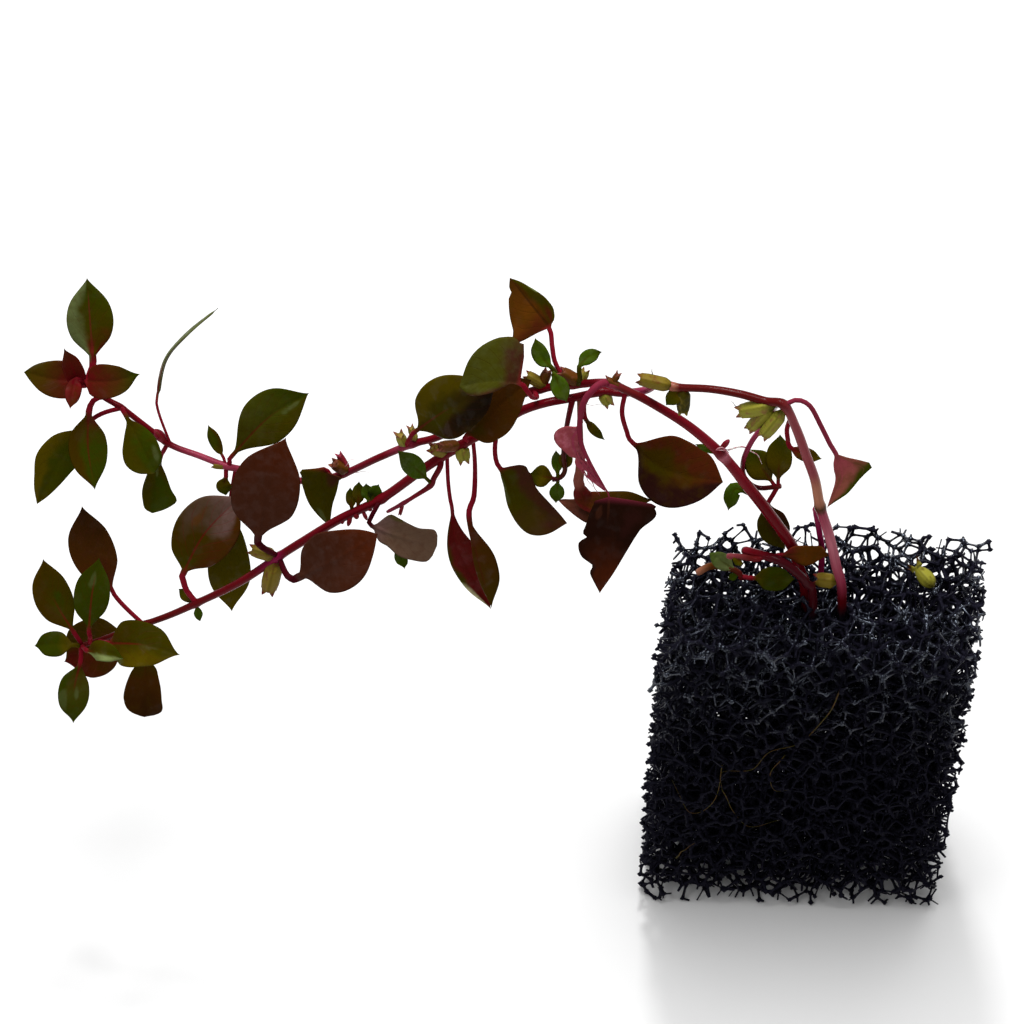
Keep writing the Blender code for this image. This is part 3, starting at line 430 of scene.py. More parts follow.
class Recipe:
    """A material put together node by node."""

    def __init__(self, name: str) -> None:
        """Start a material that reads the piece's own coordinates.

        Args:
            name: the material's name.
        """
        self.material = bpy.data.materials.new(name)
        self.material.use_nodes = True
        tree = self.material.node_tree
        self.nodes, self.links = tree.nodes, tree.links
        self.shader = self.nodes["Principled BSDF"]
        self.place = self.node("TexCoord", {}, "Object")

    def feed(self, socket: Socket, value: object) -> None:
        """Link a socket to another one, or set it to a tone or a plain value.

        Args:
            socket: the input to feed.
            value: an output, a tone or a plain value.
        """
        if isinstance(value, Socket):
            self.links.new(value, socket)
        else:
            socket.default_value = value.linear if isinstance(value, Tone) else value

    def node(self, kind: str, given: dict[str | int, object], output: str | int = 0,
             **choices: str) -> Socket:
        """A new node with its inputs fed.

        Args:
            kind: what Blender calls it.
            given: what its inputs get, by their names or numbers.
            output: the output that is wanted.
            **choices: the node's own settings.

        Returns:
            The output.
        """
        node = self.nodes.new(f"ShaderNode{kind}")
        for title, choice in choices.items():
            setattr(node, title, choice)
        for title, value in given.items():
            self.feed(node.inputs[title], value)
        return node.outputs[output]

    def attribute(self, name: str) -> Socket:
        """A value that the piece's mesh carries."""
        return self.node("Attribute", {}, "Fac", attribute_name=name)

    def math(self, operation: str, *values: object) -> Socket:
        """A sum of one to three values."""
        return self.node("Math", dict(enumerate(values)), operation=operation)

    def times(self, value: object, share: object) -> Socket:
        """One value times another."""
        return self.math("MULTIPLY", value, share)

    def scaled(self, value: object, share: object, plus: object) -> Socket:
        """A value times a share, plus another value."""
        return self.math("MULTIPLY_ADD", value, share, plus)

    def rise(self, value: Socket, low: object, high: object) -> Socket:
        """0 at `low`, 1 at `high` (which may be the smaller one), smooth between them."""
        given = {"Value": value, "From Min": low, "From Max": high}
        return self.node("MapRange", given, "Result", interpolation_type="SMOOTHSTEP")

    def mix(self, share: object, low: object, high: object) -> Socket:
        """A colour between two colours."""
        return self.node("Mix", {"Factor": share, 6: low, 7: high}, 2, data_type="RGBA")

    def ramp(self, value: Socket, stops: list[tuple[float, Tone]]) -> Socket:
        """The colour that a row of stops gives for a value from 0 to 1.

        Args:
            value: what is read.
            stops: values and their tones, rising.

        Returns:
            The colour.
        """
        node = self.nodes.new("ShaderNodeValToRGB")
        elements = node.color_ramp.elements
        elements.remove(elements[1])
        elements[0].position, elements[0].color = stops[0][0], stops[0][1].linear
        for position, tone in stops[1:]:
            elements.new(position).color = tone.linear
        self.feed(node.inputs["Fac"], value)
        return node.outputs["Color"]

    def noise(self, grain: Grain, place: Socket | None = None) -> Socket:
        """Soft random values from 0 to 1.

        Args:
            grain: the lumps' size and roughness.
            place: coordinates to read in place of the piece's own, in their own unit.

        Returns:
            The values.
        """
        size = grain.size * MM if place is None else grain.size
        given = {"Vector": self.place if place is None else place, "Scale": 1.0 / size,
                 "Detail": grain.detail, "Roughness": grain.rough}
        return self.node("TexNoise", given, "Fac")

    def lumps(self, grain: Grain, reach: tuple[float, float], share: float) -> Socket:
        """Lumps that rise where the grain passes `reach`, `share` strong."""
        return self.times(self.rise(self.noise(grain), *reach), share)

    def bump(self, height: Socket, depth: float, strength: float) -> Socket:
        """Surface direction over a relief `depth` mm high."""
        given = {"Strength": strength, "Distance": depth * MM, "Height": height}
        return self.node("Bump", given, "Normal")

    def done(self, colour: Socket, roughness: Socket, normal: Socket,
             gloss: object) -> bpy.types.Material:
        """Give the shader its colour, roughness, relief and strength of gloss.

        Args:
            colour: the surface's colour.
            roughness: how dull its gloss is.
            normal: its direction.
            gloss: how strong its gloss is.

        Returns:
            The finished material.
        """
        for title, value in (("Base Color", colour), ("Roughness", roughness),
                             ("Normal", normal), ("Specular IOR Level", gloss)):
            self.feed(self.shader.inputs[title], value)
        return self.material


LEAF_STRAY = Grain(3.5)
LEAF_MOTTLE = Grain(1.5, 3.0, 0.6)
LEAF_BACK = Grain(2.5, 3.0)
LEAF_SKIN = Grain(0.16, 2.0, 0.6)
LEAF_SWELL = Grain(1.1)
LEAF_DULLNESS = Grain(1.7, 3.0)
LEAF_SHINE = Grain(2.4)
BLADE_STOPS = (0.0, 0.1, 0.38, 0.95)
STRAY_SHARE = 0.5
HALF_BLEND = 0.5
PATCH_STRETCH = 1.6
PATCH_CORE = 0.35
MOTTLE_RISE = (0.42, 0.7)
VEIN_COUNT = 7.0
VEIN_SLANT = 0.42
VEIN_STRAY = 0.12
VEIN_CREST = (0.93, 1.0)
VEIN_MARGIN = (0.97, 0.75)
RIB_HALF = (-0.14, 0.22)
RIB_BLUR = 0.07
RIB_STRAY = 0.4
RIB_FADE = (0.12, -0.2)
RIB_SHARE = 0.55
RIB_SHARE_BEHIND = 0.7
STALK_RISE = (0.08, -0.05)
FACE_RISE = (0.35, 0.6)
SHINE_RISE = (0.52, 0.68)


@dataclass(frozen=True)
class Patch:
    """A blotch on a blade: where along and across it lies, its reach and its colour."""

    # Grey-green and purple-grey blotches are painted sheen.
    along: float
    across: float
    reach: float
    tone: Tone
    strength: float = 1.0


class BladeRecipe(Recipe):
    """A leaf's material: it reads the values that a leaf's mesh carries.

    `along` goes from base to tip, `across` from -1 at the left margin to 1 at the right one,
    `beside` is mm from the midrib, `face` is 1 on the upper face, and `stray` is random.
    """

    def __init__(self, name: str) -> None:
        """Start the material with its values.

        Args:
            name: the material's name.
        """
        super().__init__(name)
        self.along, self.across = self.attribute("along"), self.attribute("across")
        self.beside, self.face = self.attribute("beside"), self.attribute("face")
        self.stray = self.math("SUBTRACT", self.noise(LEAF_STRAY), 0.5)

    def near(self, patch: Patch) -> Socket:
        """How much of a blotch shows, by the stretched distance from its middle.

        Args:
            patch: the blotch.

        Returns:
            Its share from 0 to its strength.
        """
        ahead = self.times(self.math("SUBTRACT", self.along, patch.along), PATCH_STRETCH)
        beside = self.math("SUBTRACT", self.across, patch.across)
        away = self.math("SQRT", self.math("ADD", self.math("POWER", ahead, 2.0),
                                           self.math("POWER", beside, 2.0)))
        away = self.scaled(self.stray, STRAY_SHARE, away)
        return self.times(self.rise(away, patch.reach, PATCH_CORE * patch.reach),
                          patch.strength)

    def veins(self) -> Socket:
        """Side veins: the lines where (along - 0.42 |across|) x 7 is a whole number.

        Returns:
            1 on a vein, 0 beside it and near the margins.
        """
        width = self.math("ABSOLUTE", self.across)
        slant = self.scaled(width, -VEIN_SLANT, self.along)
        slant = self.scaled(self.stray, VEIN_STRAY, slant)
        crest = self.math("COSINE", self.times(slant, VEIN_COUNT * 2.0 * math.pi))
        return self.times(self.rise(crest, *VEIN_CREST), self.rise(width, *VEIN_MARGIN))

    def midrib(self) -> Socket:
        """1 on the midrib, whose half is 0.22 mm wide at the base and narrows to the tip."""
        half = self.scaled(self.along, *RIB_HALF)
        return self.rise(self.math("SUBTRACT", self.beside, half), RIB_BLUR, -RIB_BLUR)

    def relief(self, vein: Socket) -> Socket:
        """The blade's relief: soft swellings, sunken veins and a fine grain.

        Args:
            vein: 1 on a side vein.

        Returns:
            The surface's direction.
        """
        swell = self.times(self.noise(LEAF_SWELL), 2.0)
        sunken = self.math("SUBTRACT", swell, self.times(vein, 0.5))
        grain = self.times(self.noise(LEAF_SKIN), 0.35)
        return self.bump(self.math("ADD", sunken, grain), 0.1, 0.5)


@dataclass(frozen=True)
class LeafFinish:
    """A leaf's colours from its stalk to its tip, its midrib, margins, veins and back.

    `reach` is how far along the blade the midrib shows its colour. `left` and `right` tint
    the blade's halves from `edge` of the way to their margins. `rough` is the roughness.
    """

    base: Tone
    middle: Tone
    tip: Tone
    rib: Tone = Tone.CRIMSON
    reach: float = 0.6
    stalk: Tone = Tone.BRIGHT_CRIMSON
    left: Tone | None = None
    right: Tone | None = None
    back: Tone = Tone.PURPLE_BROWN
    mottle: Tone = Tone.BROWN_OLIVE
    mottled: float = 0.3
    veined: float = 0.12
    edge: float = 0.1
    rough: float = 0.42
    patches: tuple[Patch, ...] = ()
    slot: str = "olive_leaf"

    def body(self, mat: BladeRecipe) -> Socket:
        """Colour of the blade without its veins: base to tip, halves, blotches, mottling.

        Args:
            mat: the material.

        Returns:
            The colour.
        """
        tones = (self.base, self.base, self.middle, self.tip)
        colour = mat.ramp(mat.scaled(mat.stray, STRAY_SHARE, mat.along),
                          list(zip(BLADE_STOPS, tones)))
        for tone, sign in ((self.left, -1.0), (self.right, 1.0)):
            if tone is not None:
                side = mat.scaled(mat.across, sign, mat.stray)
                colour = mat.mix(mat.rise(side, self.edge, self.edge + HALF_BLEND), colour, tone)
        for patch in self.patches:
            colour = mat.mix(mat.near(patch), colour, patch.tone)
        return mat.mix(mat.lumps(LEAF_MOTTLE, MOTTLE_RISE, self.mottled), colour, self.mottle)

    def material(self, name: str) -> bpy.types.Material:
        """The finish as a material: stalk, upper face with its veins, and back.

        Args:
            name: the material's name.

        Returns:
            The material.
        """
        mat = BladeRecipe(name)
        vein, rib = mat.veins(), mat.midrib()
        upper = mat.mix(mat.times(vein, self.veined), self.body(mat), self.rib)
        reaching = mat.rise(mat.scaled(mat.stray, RIB_STRAY, mat.along),
                            *(self.reach + fade for fade in RIB_FADE))
        upper = mat.mix(mat.times(mat.times(rib, reaching), RIB_SHARE), upper, self.rib)
        stalk = mat.rise(mat.along, *STALK_RISE)
        upper = mat.mix(stalk, upper, self.stalk)
        behind = mat.mix(mat.times(rib, RIB_SHARE_BEHIND), self.back, self.rib)
        behind = mat.mix(mat.noise(LEAF_BACK), behind, self.middle)
        seen = mat.math("MAXIMUM", mat.rise(mat.face, *FACE_RISE), stalk)
        roughness = mat.scaled(mat.noise(LEAF_DULLNESS), 0.22, self.rough - 0.1)
        gloss = mat.scaled(mat.rise(mat.noise(LEAF_SHINE), *SHINE_RISE), 0.05, 0.004)
        return mat.done(mat.mix(seen, behind, upper), roughness, mat.relief(vein), gloss)


HALF_STATIONS = (0.12, 0.3, 0.5, 0.7, 0.88, 1.0)
BLADE_ACROSS = np.array((0.0, 0.05, 0.11, 0.19, 0.3, 0.44, 0.58, 0.72, 0.84, 0.94, 1.0))
BROAD = 5.0
FINE_STEP = 0.1
STALK_STEP = 0.9
STALK_SCALE = 10.0
FEWEST_RINGS = 12
RINGS_A_MM = 2.2
NARROW_RINGS_A_MM = 2.8
TIP_FROM = 0.65
TIP_POWER = 1.2
BLUNT_FROM = 0.9
BLUNT_LEAST = 0.2
FOOT_BEFORE = -0.6
RIDGE_HIGH = 0.3
GROOVE_DEEP = 0.1
RIB_REACH = 0.36
QUILT_HIGH = 0.035
FOLD_SOFT = 0.5


@dataclass(frozen=True)
class Bite:
    """A nick in a blade's edge: its side (-1 left, 1 right), place, depth and length."""

    side: int
    along: float
    depth: float
    length: float


@dataclass(frozen=True)
class Leaf:
    """A leaf: its stalk from the stem's middle, then its midrib from base to tip.

    `wide` is the whole blade in mm and `share` the part of it right of the midrib, seen from
    the base on. An uneven leaf has half widths `left` and `right` at `stations` instead.
    `fold` lifts both halves towards the viewer and `turn` rolls the blade, in degrees.
    `wavy` is how far the margins wave, in mm. `foot` is the share of the blade over which it
    opens from its stalk. `stalk_end` is the stalk's radius at the blade, as a share of its
    radius at the stem. A leaf seen from its `underside` shows its midrib as a ridge.
    """

    node: str
    stalk: tuple[Place, ...]
    blade: tuple[Place, ...]
    wide: float
    finish: LeafFinish
    peak: float = 0.45
    full: float = 0.8
    share: float = 0.5
    left: tuple[float, ...] = ()
    right: tuple[float, ...] = ()
    stations: tuple[float, ...] = HALF_STATIONS
    fold: float = 8.0
    turn: float = 0.0
    wavy: float = 0.22
    foot: float = 0.3
    stalk_radius: float = 0.38
    stalk_end: float = 1.0
    thick: float = 0.28
    underside: bool = False
    bites: tuple[Bite, ...] = ()
    name: str = ""

    def stalk_radii(self, along: Array) -> Array:
        """The stalk's radius: r (1 + (end - 1) s^1.4), with s from 0 at the stem to 1."""
        share = 1.0 - np.minimum(along, 0.0) / along[0]
        return self.stalk_radius * (1.0 + (self.stalk_end - 1.0) * share ** 1.4)

    def outline(self, inside: Array) -> list[Array]:
        """Half widths left and right of the midrib before the foot, bites and tip.

        An even blade is wide x |sin(pi along^p)|^e, with p set by where it is widest and e
        rising from `full` to 1.2 at the pointed tip. An uneven one flows through its given
        half widths.

        Args:
            inside: share of the blade from 0 to 1.

        Returns:
            The left and the right half widths in mm.
        """
        if self.left:
            stations = np.array((0.0, *self.stations))
            return [np.clip(flow(inside, stations, np.array((0.0, *side))), 0.0, None)
                    for side in (self.left, self.right)]
        power = math.log(0.5) / math.log(self.peak)
        sharp = self.full + (TIP_POWER - self.full) * step_up(inside, TIP_FROM, 1.0)
        width = self.wide * np.abs(np.sin(math.pi * inside ** power)) ** sharp
        return [width * (1.0 - self.share), width * self.share]

    def halves(self, along: Array) -> tuple[Array, Array]:
        """Half widths left and right of the midrib, opened from the stalk and nicked.

        A bite takes depth x exp(-((along - place) / length)^2) of the half width. A blunt
        tip is rounded off, and nowhere is the leaf narrower than its stalk.

        Args:
            along: share of the blade, less than 0 on the stalk.

        Returns:
            The left and the right half widths in mm.
        """
        inside = np.clip(along, 0.0, 1.0)
        blunt = np.clip((inside - BLUNT_FROM) / (1.0 - BLUNT_FROM), 0.0, 1.0)
        blunt = np.sqrt(1.0 - blunt ** 2)
        least = self.stalk_radii(along) * np.clip(1.0 - inside, 0.0, 1.0) ** 0.6
        sides = []
        for side, half in zip((-1, 1), self.outline(inside)):
            half = half * step_up(inside, FOOT_BEFORE * self.foot, self.foot)
            for bite in self.bites:
                if bite.side == side:
                    depth = bite.depth * np.exp(-((inside - bite.along) / bite.length) ** 2)
                    half = half * (1.0 - depth)
            end = blunt if half[-1] > BLUNT_LEAST else 1.0
            sides.append(np.maximum(half * end, least * blunt + 0.02))
        return sides[0], sides[1]

    def route(self) -> tuple[Array, Array]:
        """Places from the stem's middle to the tip, closer together at base and tip.

        Returns:
            The places, and each one's share of the blade. On the stalk the share is
            negative: minus the distance to the blade over 10 mm.
        """
        stalk, blade = VIEW.spots(self.stalk), VIEW.spots(self.blade)
        whole = smooth_route(np.vstack((stalk, blade)), FINE_STEP)
        run = travel(whole)
        split = run[np.argmin(np.linalg.norm(whole - blade[0], axis=1))]
        length = run[-1] - split
        rings = RINGS_A_MM if self.wide > BROAD else NARROW_RINGS_A_MM
        count = max(FEWEST_RINGS, int(length * rings))
        share = np.linspace(0.0, 1.0, count)
        share = 0.6 * share + 0.4 * (0.5 - 0.5 * np.cos(math.pi * share))
        stalk_count = max(FEWEST_PLACES, int(split / STALK_STEP))
        before = np.linspace(0.0, split, stalk_count, endpoint=False)
        where = np.concatenate((before, split + share * length))
        return places_at(whole, where), np.concatenate(((before - split) / STALK_SCALE, share))

    def height(self, x: Array, sides: Array, along: Array, fold: Array) -> Array:
        """Height of the folded and waved blade over its midrib.

        It is tan(fold) (sqrt(x^2 + 0.5^2) - 0.5), plus waves that grow to the margins, plus
        a quilt that sinks at the side veins.

        Args:
            x: mm from the midrib, as (place, step across).
            sides: -1 to 1 across the blade.
            along: share of the blade, one a row.
            fold: the halves' lift in radians, one a row.

        Returns:
            The height in mm.
        """
        opened = step_up(along, -0.02, 0.12)
        phase = float(sum(map(ord, self.node)) % 97)
        wave = np.where(sides < 0, np.sin(11.0 * along + phase),
                        np.sin(9.0 * along + 1.7 * phase))
        quilt = np.cos(2 * math.pi * VEIN_COUNT * (along - VEIN_SLANT * np.abs(sides)))
        return (np.tan(fold) * (np.sqrt(x ** 2 + FOLD_SOFT ** 2) - FOLD_SOFT)
                + self.wavy * opened * wave * np.abs(sides) ** 2.5
                + QUILT_HIGH * opened * quilt * np.abs(sides) * (1.0 - sides ** 4))

    def body(self, x: Array, sides: Array, along: Array,
             widest: Array) -> tuple[Array, Array, Array]:
        """Half the leaf's thickness, its midrib's ridge and the groove over it.

        A stalk is round, a blade is flat with a thin margin, and the leaf passes from one to
        the other as it opens to three times its stalk's width.

        Args:
            x: mm from the midrib, as (place, step across).
            sides: -1 to 1 across the blade.
            along: share of the blade, one a place.
            widest: the wider half in mm, one a place.

        Returns:
            Half thickness, ridge and groove in mm.
        """
        stalk = self.stalk_radii(along)[:, None]
        round_part = stalk * np.sqrt(np.clip(1.0 - sides ** 2, 0.0, 1.0))
        flat_part = 0.5 * self.thick * np.sqrt(np.clip(1.0 - np.abs(sides) ** 6, 0.0, 1.0))
        narrow = 1.0 - step_up(widest[:, None] / stalk, 1.0, 3.0)
        taper = np.clip(1.0 - along, 0.0, 1.0)[:, None] ** 0.7
        lift = (narrow * round_part * np.where(along[:, None] < 0.5, 1.0, taper)
                + (1.0 - narrow) * flat_part)
        near_rib = np.exp(-(x / RIB_REACH) ** 2) * (1.0 - narrow)
        return lift, RIDGE_HIGH * taper * near_rib, GROOVE_DEEP * near_rib

    def surface(self) -> Surface:
        """The leaf as one closed skin: a round stalk that spreads into a thin blade.

        Each ring goes across the lower face and back over the upper one.

        Returns:
            The skin, with its along, across, beside and face values.
        """
        places, along = self.route()
        left, right = self.halves(along)
        steps = BLADE_ACROSS if self.wide > BROAD else BLADE_ACROSS[::2]
        sides = np.concatenate((-steps[:0:-1], steps))
        x = sides * np.where(sides < 0, left[:, None], right[:, None])
        fold = np.radians(self.fold) * np.minimum(1.0, 2.0 * (left + right) / self.wide)
        fold = fold[:, None]
        height = self.height(x, sides, along[:, None], fold)
        lift, ridge, groove = self.body(x, sides, along, np.maximum(left, right))
        seen, hidden = (ridge, -groove) if self.underside else (-groove, ridge)
        across, out = facing_frames(places, self.turn)
        middle = places[:, None] + across[:, None] * (x * np.cos(fold))[..., None]
        upper = middle + out[:, None] * (height + lift + seen)[..., None]
        lower = middle + out[:, None] * (height - lift - hidden)[..., None]
        rings = np.concatenate((lower[:, ::-1], upper[:, 1:-1]), axis=1)
        count, shape = len(sides), rings.shape[:2]
        order = np.concatenate((np.arange(count)[::-1], np.arange(1, count - 1)))
        face = np.concatenate((np.zeros(count), np.ones(count - 2)))
        face[[0, count - 1]] = 0.5
        values = {"along": np.broadcast_to(along[:, None], shape),
                  "across": np.broadcast_to(sides[order], shape),
                  "beside": np.abs(x[:, order]),
                  "face": np.broadcast_to(face, shape)}
        return Surface.closed(rings, values)

    def make(self) -> None:
        """Make the leaf with its finish."""
        name = self.name or f"{self.node}_detail"
        self.surface().make(name, self.finish.material(name), self.finish.slot,
                            (self.node,))


STEM_STREAK = Grain(1.0, 3.0, 0.6)
STEM_SPECKS = Grain(0.5, 3.0, 0.7)
STEM_SKIN = Grain(0.3)
STREAKS_ROUND = 9.0
STREAKS_ALONG = 30.0
# Where the painted shade on a stem's stretch inside the foam gives way, as shares of that
# stretch.
BURIED_SHADE_RISE = (0.8, 0.99)


@dataclass(frozen=True)
class StemFinish:
    """A stem's colours at knots of its route, given as knot number and tone."""

    tones: tuple[tuple[float, Tone], ...]
    slot: str = "crimson_stem"

    def material(self, name: str, knot_shares: Array) -> bpy.types.Material:
        """Colours along the stem, lengthwise streaks, rubbed specks, painted shade in the foam.

        Args:
            name: the material's name.
            knot_shares: each knot's share of the stem's length.

        Returns:
            The material.
        """
        mat = Recipe(name)
        along, around = mat.attribute("along"), mat.attribute("around")
        numbers = np.arange(len(knot_shares))
        stops = [(float(np.interp(knot, numbers, knot_shares)), tone)
                 for knot, tone in self.tones]
        colour = mat.ramp(along, stops)
        place = mat.node("CombineXYZ", {0: mat.times(around, STREAKS_ROUND),
                                        1: mat.times(along, STREAKS_ALONG)})
        streak = mat.noise(STEM_STREAK, place)
        colour = mat.mix(mat.times(mat.rise(streak, 0.35, 0.8), 0.3), colour,
                         Tone.DARK_CRIMSON)
        colour = mat.mix(mat.lumps(STEM_SPECKS, (0.62, 0.74), 0.06), colour, Tone.DUSTY_PINK)
        # Painted shade: the stretch of the stem inside the foam takes the foam's near-black.
        entry = float(knot_shares[0])
        if entry > 0.0:
            above = mat.rise(along, *(share * entry for share in BURIED_SHADE_RISE))
            colour = mat.mix(above, Tone.FOAM, colour)
        relief = mat.scaled(streak, 1.5, mat.noise(STEM_SKIN))
        roughness = mat.scaled(streak, 0.16, 0.08)
        return mat.done(colour, roughness, mat.bump(relief, 0.03, 0.5), 0.055)


@dataclass(frozen=True)
class Stem:
    """A stem or shoot: its route from the root end on, and its radius along the way.

    `buried` is how far the end in the foam leans, in mm, and `swells` are the knots where a
    node thickens it by `swelling`, over `swell_reach` mm each way. `angled` is how far its
    four rounded edges stand out.
    """

    node: str
    route: tuple[Place, ...]
    radii: tuple[float, ...]
    finish: StemFinish
    buried: tuple[float, float] | None = None
    swells: tuple[float, ...] = ()
    hole_deep: float = 27.0
    sides: int = 14
    swelling: float = 0.22
    swell_reach: float = 0.9
    angled: float = 0.05
    end_share: float = 0.8

    def knots(self) -> Array:
        """Real places of the route, with the stretch in the foam before its first place.

        Returns:
            One place in mm a row.
        """
        places = VIEW.spots(self.route)
        if self.buried is None:
            return places
        lean = np.array((*self.buried, -self.hole_deep))
        return np.vstack((places[0] + lean, places))

    def line(self, step: float = 0.5) -> tuple[Array, Array]:
        """The stem's middle line and its radius at each place of it.

        Args:
            step: mm between the places, about.

        Returns:
            The places and the radii in mm.
        """
        line = smooth_route(self.knots(), step)
        share = np.linspace(0.0, 1.0, len(line))
        return line, np.interp(share, np.linspace(0.0, 1.0, len(self.radii)), self.radii)

    def knot_runs(self, line: Array) -> Array:
        """Distance along the line at each knot of the route, the buried one left out.

        Args:
            line: the stem's middle line.

        Returns:
            The distances in mm.
        """
        knots = self.knots()[0 if self.buried is None else 1:]
        nearest = np.linalg.norm(line[None] - knots[:, None], axis=2).argmin(axis=1)
        return travel(line)[nearest]

    def surface(self) -> tuple[Surface, Array]:
        """The stem as a tube r (1 + 0.05 cos 4a) about its line, thicker at its nodes.

        Returns:
            The tube, and each knot's share of the stem's length.
        """
        line, radii = self.line()
        run = travel(line)
        runs = self.knot_runs(line)
        places = np.interp(self.swells, np.arange(len(runs)), runs)
        swell = np.exp(-((run[:, None] - places) / self.swell_reach) ** 2).sum(axis=1)
        radii = radii * (1.0 + self.swelling * np.minimum(swell, 1.0))
        radii[[0, -1]] *= self.end_share
        angle = turns(self.sides)
        reach = radii[:, None] * (1.0 + self.angled * np.cos(4 * angle))
        rings = rings_about(line, facing_frames(line), (reach, reach), angle)
        return Surface.tube(rings, run / run[-1], np.sin(0.5 * angle)), runs / run[-1]

    def make(self) -> None:
        """Make the stem with its finish."""
        surface, shares = self.surface()
        name = f"{self.node}_detail"
        surface.make(name, self.finish.material(name, shares), self.finish.slot,
                     (self.node,))


CAPSULE_STRAY = Grain(0.8, 3.0, 0.6)
CAPSULE_BLUSH = Grain(1.2)
CAPSULE_SKIN = Grain(0.25, 3.0)
CAPSULE_STOPS = (0.0, 0.25, 0.62, 0.85)


class Kind(Enum):
    """What a small growth at a node is."""

    CAPSULE = "seed capsule with four short pointed sepals"
    DRY_FLOWER = "dried flower with crooked sepals"
    KNOB = "knob of a bud"
    SHED = "shed capsule, fat in the middle, with its sepals dried on"


@dataclass(frozen=True)
class CapsuleFinish:
    """A capsule's colours from its foot over its body to the tips of its sepals."""

    foot: Tone
    body: Tone
    sepals: Tone
    slot: str = "crimson_stem"

    def material(self, name: str) -> bpy.types.Material:
        """Colours from foot to sepals, with ribs of a darker tone and a grainy skin.

        Args:
            name: the material's name.

        Returns:
            The material.
        """
        mat = Recipe(name)
        along, around = mat.attribute("along"), mat.attribute("around")
        stray = mat.math("SUBTRACT", mat.noise(CAPSULE_STRAY), 0.5)
        shifted = mat.scaled(stray, 0.4, along)
        tones = (self.foot, self.body, self.body, self.sepals)
        colour = mat.ramp(shifted, list(zip(CAPSULE_STOPS, tones)))
        rib = mat.times(mat.rise(around, 0.2, 1.0), 0.4)
        colour = mat.mix(rib, colour, Tone.OLIVE)
        colour = mat.mix(mat.lumps(CAPSULE_BLUSH, (0.5, 0.75), 0.6), colour, self.sepals)
        roughness = mat.scaled(stray, 0.3, 0.42)
        return mat.done(colour, roughness, mat.bump(mat.noise(CAPSULE_SKIN), 0.08, 0.6), 0.06)


BODY_SHARE = {Kind.CAPSULE: 0.9, Kind.DRY_FLOWER: 0.72, Kind.KNOB: 1.0, Kind.SHED: 0.8}
SEPAL_START = {Kind.CAPSULE: 0.87, Kind.DRY_FLOWER: 0.7, Kind.SHED: 0.72}
SEPAL_REACH = {Kind.CAPSULE: 0.8, Kind.DRY_FLOWER: 1.0, Kind.SHED: 1.1}


@dataclass(frozen=True)
class Growth:
    """A capsule, dried flower or bud at a node, from the stem's middle to its tip."""

    node: str
    base: Place
    tip: Place
    radius: float
    kind: Kind = Kind.CAPSULE

    def profile(self, t: Array) -> Array:
        """The body's radius from foot to top, as a share of `radius`.

        Args:
            t: 0 at the foot to 1 at the top.

        Returns:
            0.35 + 0.65 sin(pi t^1.6)^0.8 for a knob, 0.12 + 0.88 sin(pi t^0.8)^0.7 for a
            shed capsule, and for the rest a foot that opens and a top that draws in.
        """
        if self.kind is Kind.KNOB:
            return 0.35 + 0.65 * np.sin(math.pi * t ** 1.6) ** 0.8
        if self.kind is Kind.SHED:
            return 0.12 + 0.88 * np.sin(math.pi * t ** 0.8) ** 0.7
        return 0.3 + 0.7 * step_up(t, 0.0, 0.35) - 0.12 * step_up(t, 0.75, 1.0)

    def body(self) -> Surface:
        """The four-angled body: radius x profile(t) x (1 + 0.12 cos 4a) about its axis.

        Returns:
            The body, its along value from 0 to 0.7.
        """
        start, end = VIEW.spots((self.base, self.tip))
        t = np.linspace(0.0, 1.0, 14)
        line = start + (end - start) * (BODY_SHARE[self.kind] * t)[:, None]
        angle = turns(16)
        corner = 1.0 + (0.0 if self.kind is Kind.KNOB else 0.12) * np.cos(4 * angle)
        reach = self.radius * self.profile(t)[:, None] * corner
        rings = rings_about(line, facing_frames(line), (reach, reach), angle)
        return Surface.tube(rings, 0.7 * t, np.cos(4 * angle))

    def sepal(self, number: int, top: Array, frames: tuple[Array, Array, Array]) -> Surface:
        """A pointed sepal beside the body's end: a thin spindle that curls out with t^1.5.

        Args:
            number: 0 to 3 round the body.
            top: the middle of the body's end.
            frames: the body's axis, right and out directions.

        Returns:
            The sepal, its along value from 0.62 to 1.
        """
        axis, right, out = frames
        angle = math.radians(45.0 + 90.0 * number)
        side = math.cos(angle) * right - math.sin(angle) * out
        length = SEPAL_REACH[self.kind] * self.radius
        flare = 0.3 if self.kind is Kind.CAPSULE else 0.5 + 0.3 * math.sin(2.3 * number)
        t = np.linspace(0.0, 1.0, 7)
        line = (top + side * self.radius * 0.72 + axis * (length * t)[:, None]
                + side * (flare * length * t ** 1.5)[:, None])
        wide = (0.55 * self.radius * (1.0 - t) ** 0.8 + 0.03)[:, None]
        thin = (0.09 * (1.0 - t) + 0.02)[:, None]
        rings = rings_about(line, (np.cross(axis, side), side), (wide, thin), turns(6))
        return Surface.tube(rings, 0.62 + 0.38 * t, np.zeros(6))

    def surfaces(self) -> list[Surface]:
        """The growth's body, and its four sepals unless it is a knob.

        Returns:
            The surfaces.
        """
        if self.kind is Kind.KNOB:
            return [self.body()]
        start, end = VIEW.spots((self.base, self.tip))
        right, out = (side[0] for side in facing_frames(np.vstack((start, end))))
        top = start + (end - start) * SEPAL_START[self.kind]
        frames = (unit(end - start), right, out)
        return [self.body()] + [self.sepal(number, top, frames) for number in range(4)]


FIBRE_PATCHES = Grain(0.9)
FIBRE_DULLNESS = Grain(0.6)
FIBRE_SKIN = Grain(0.15)


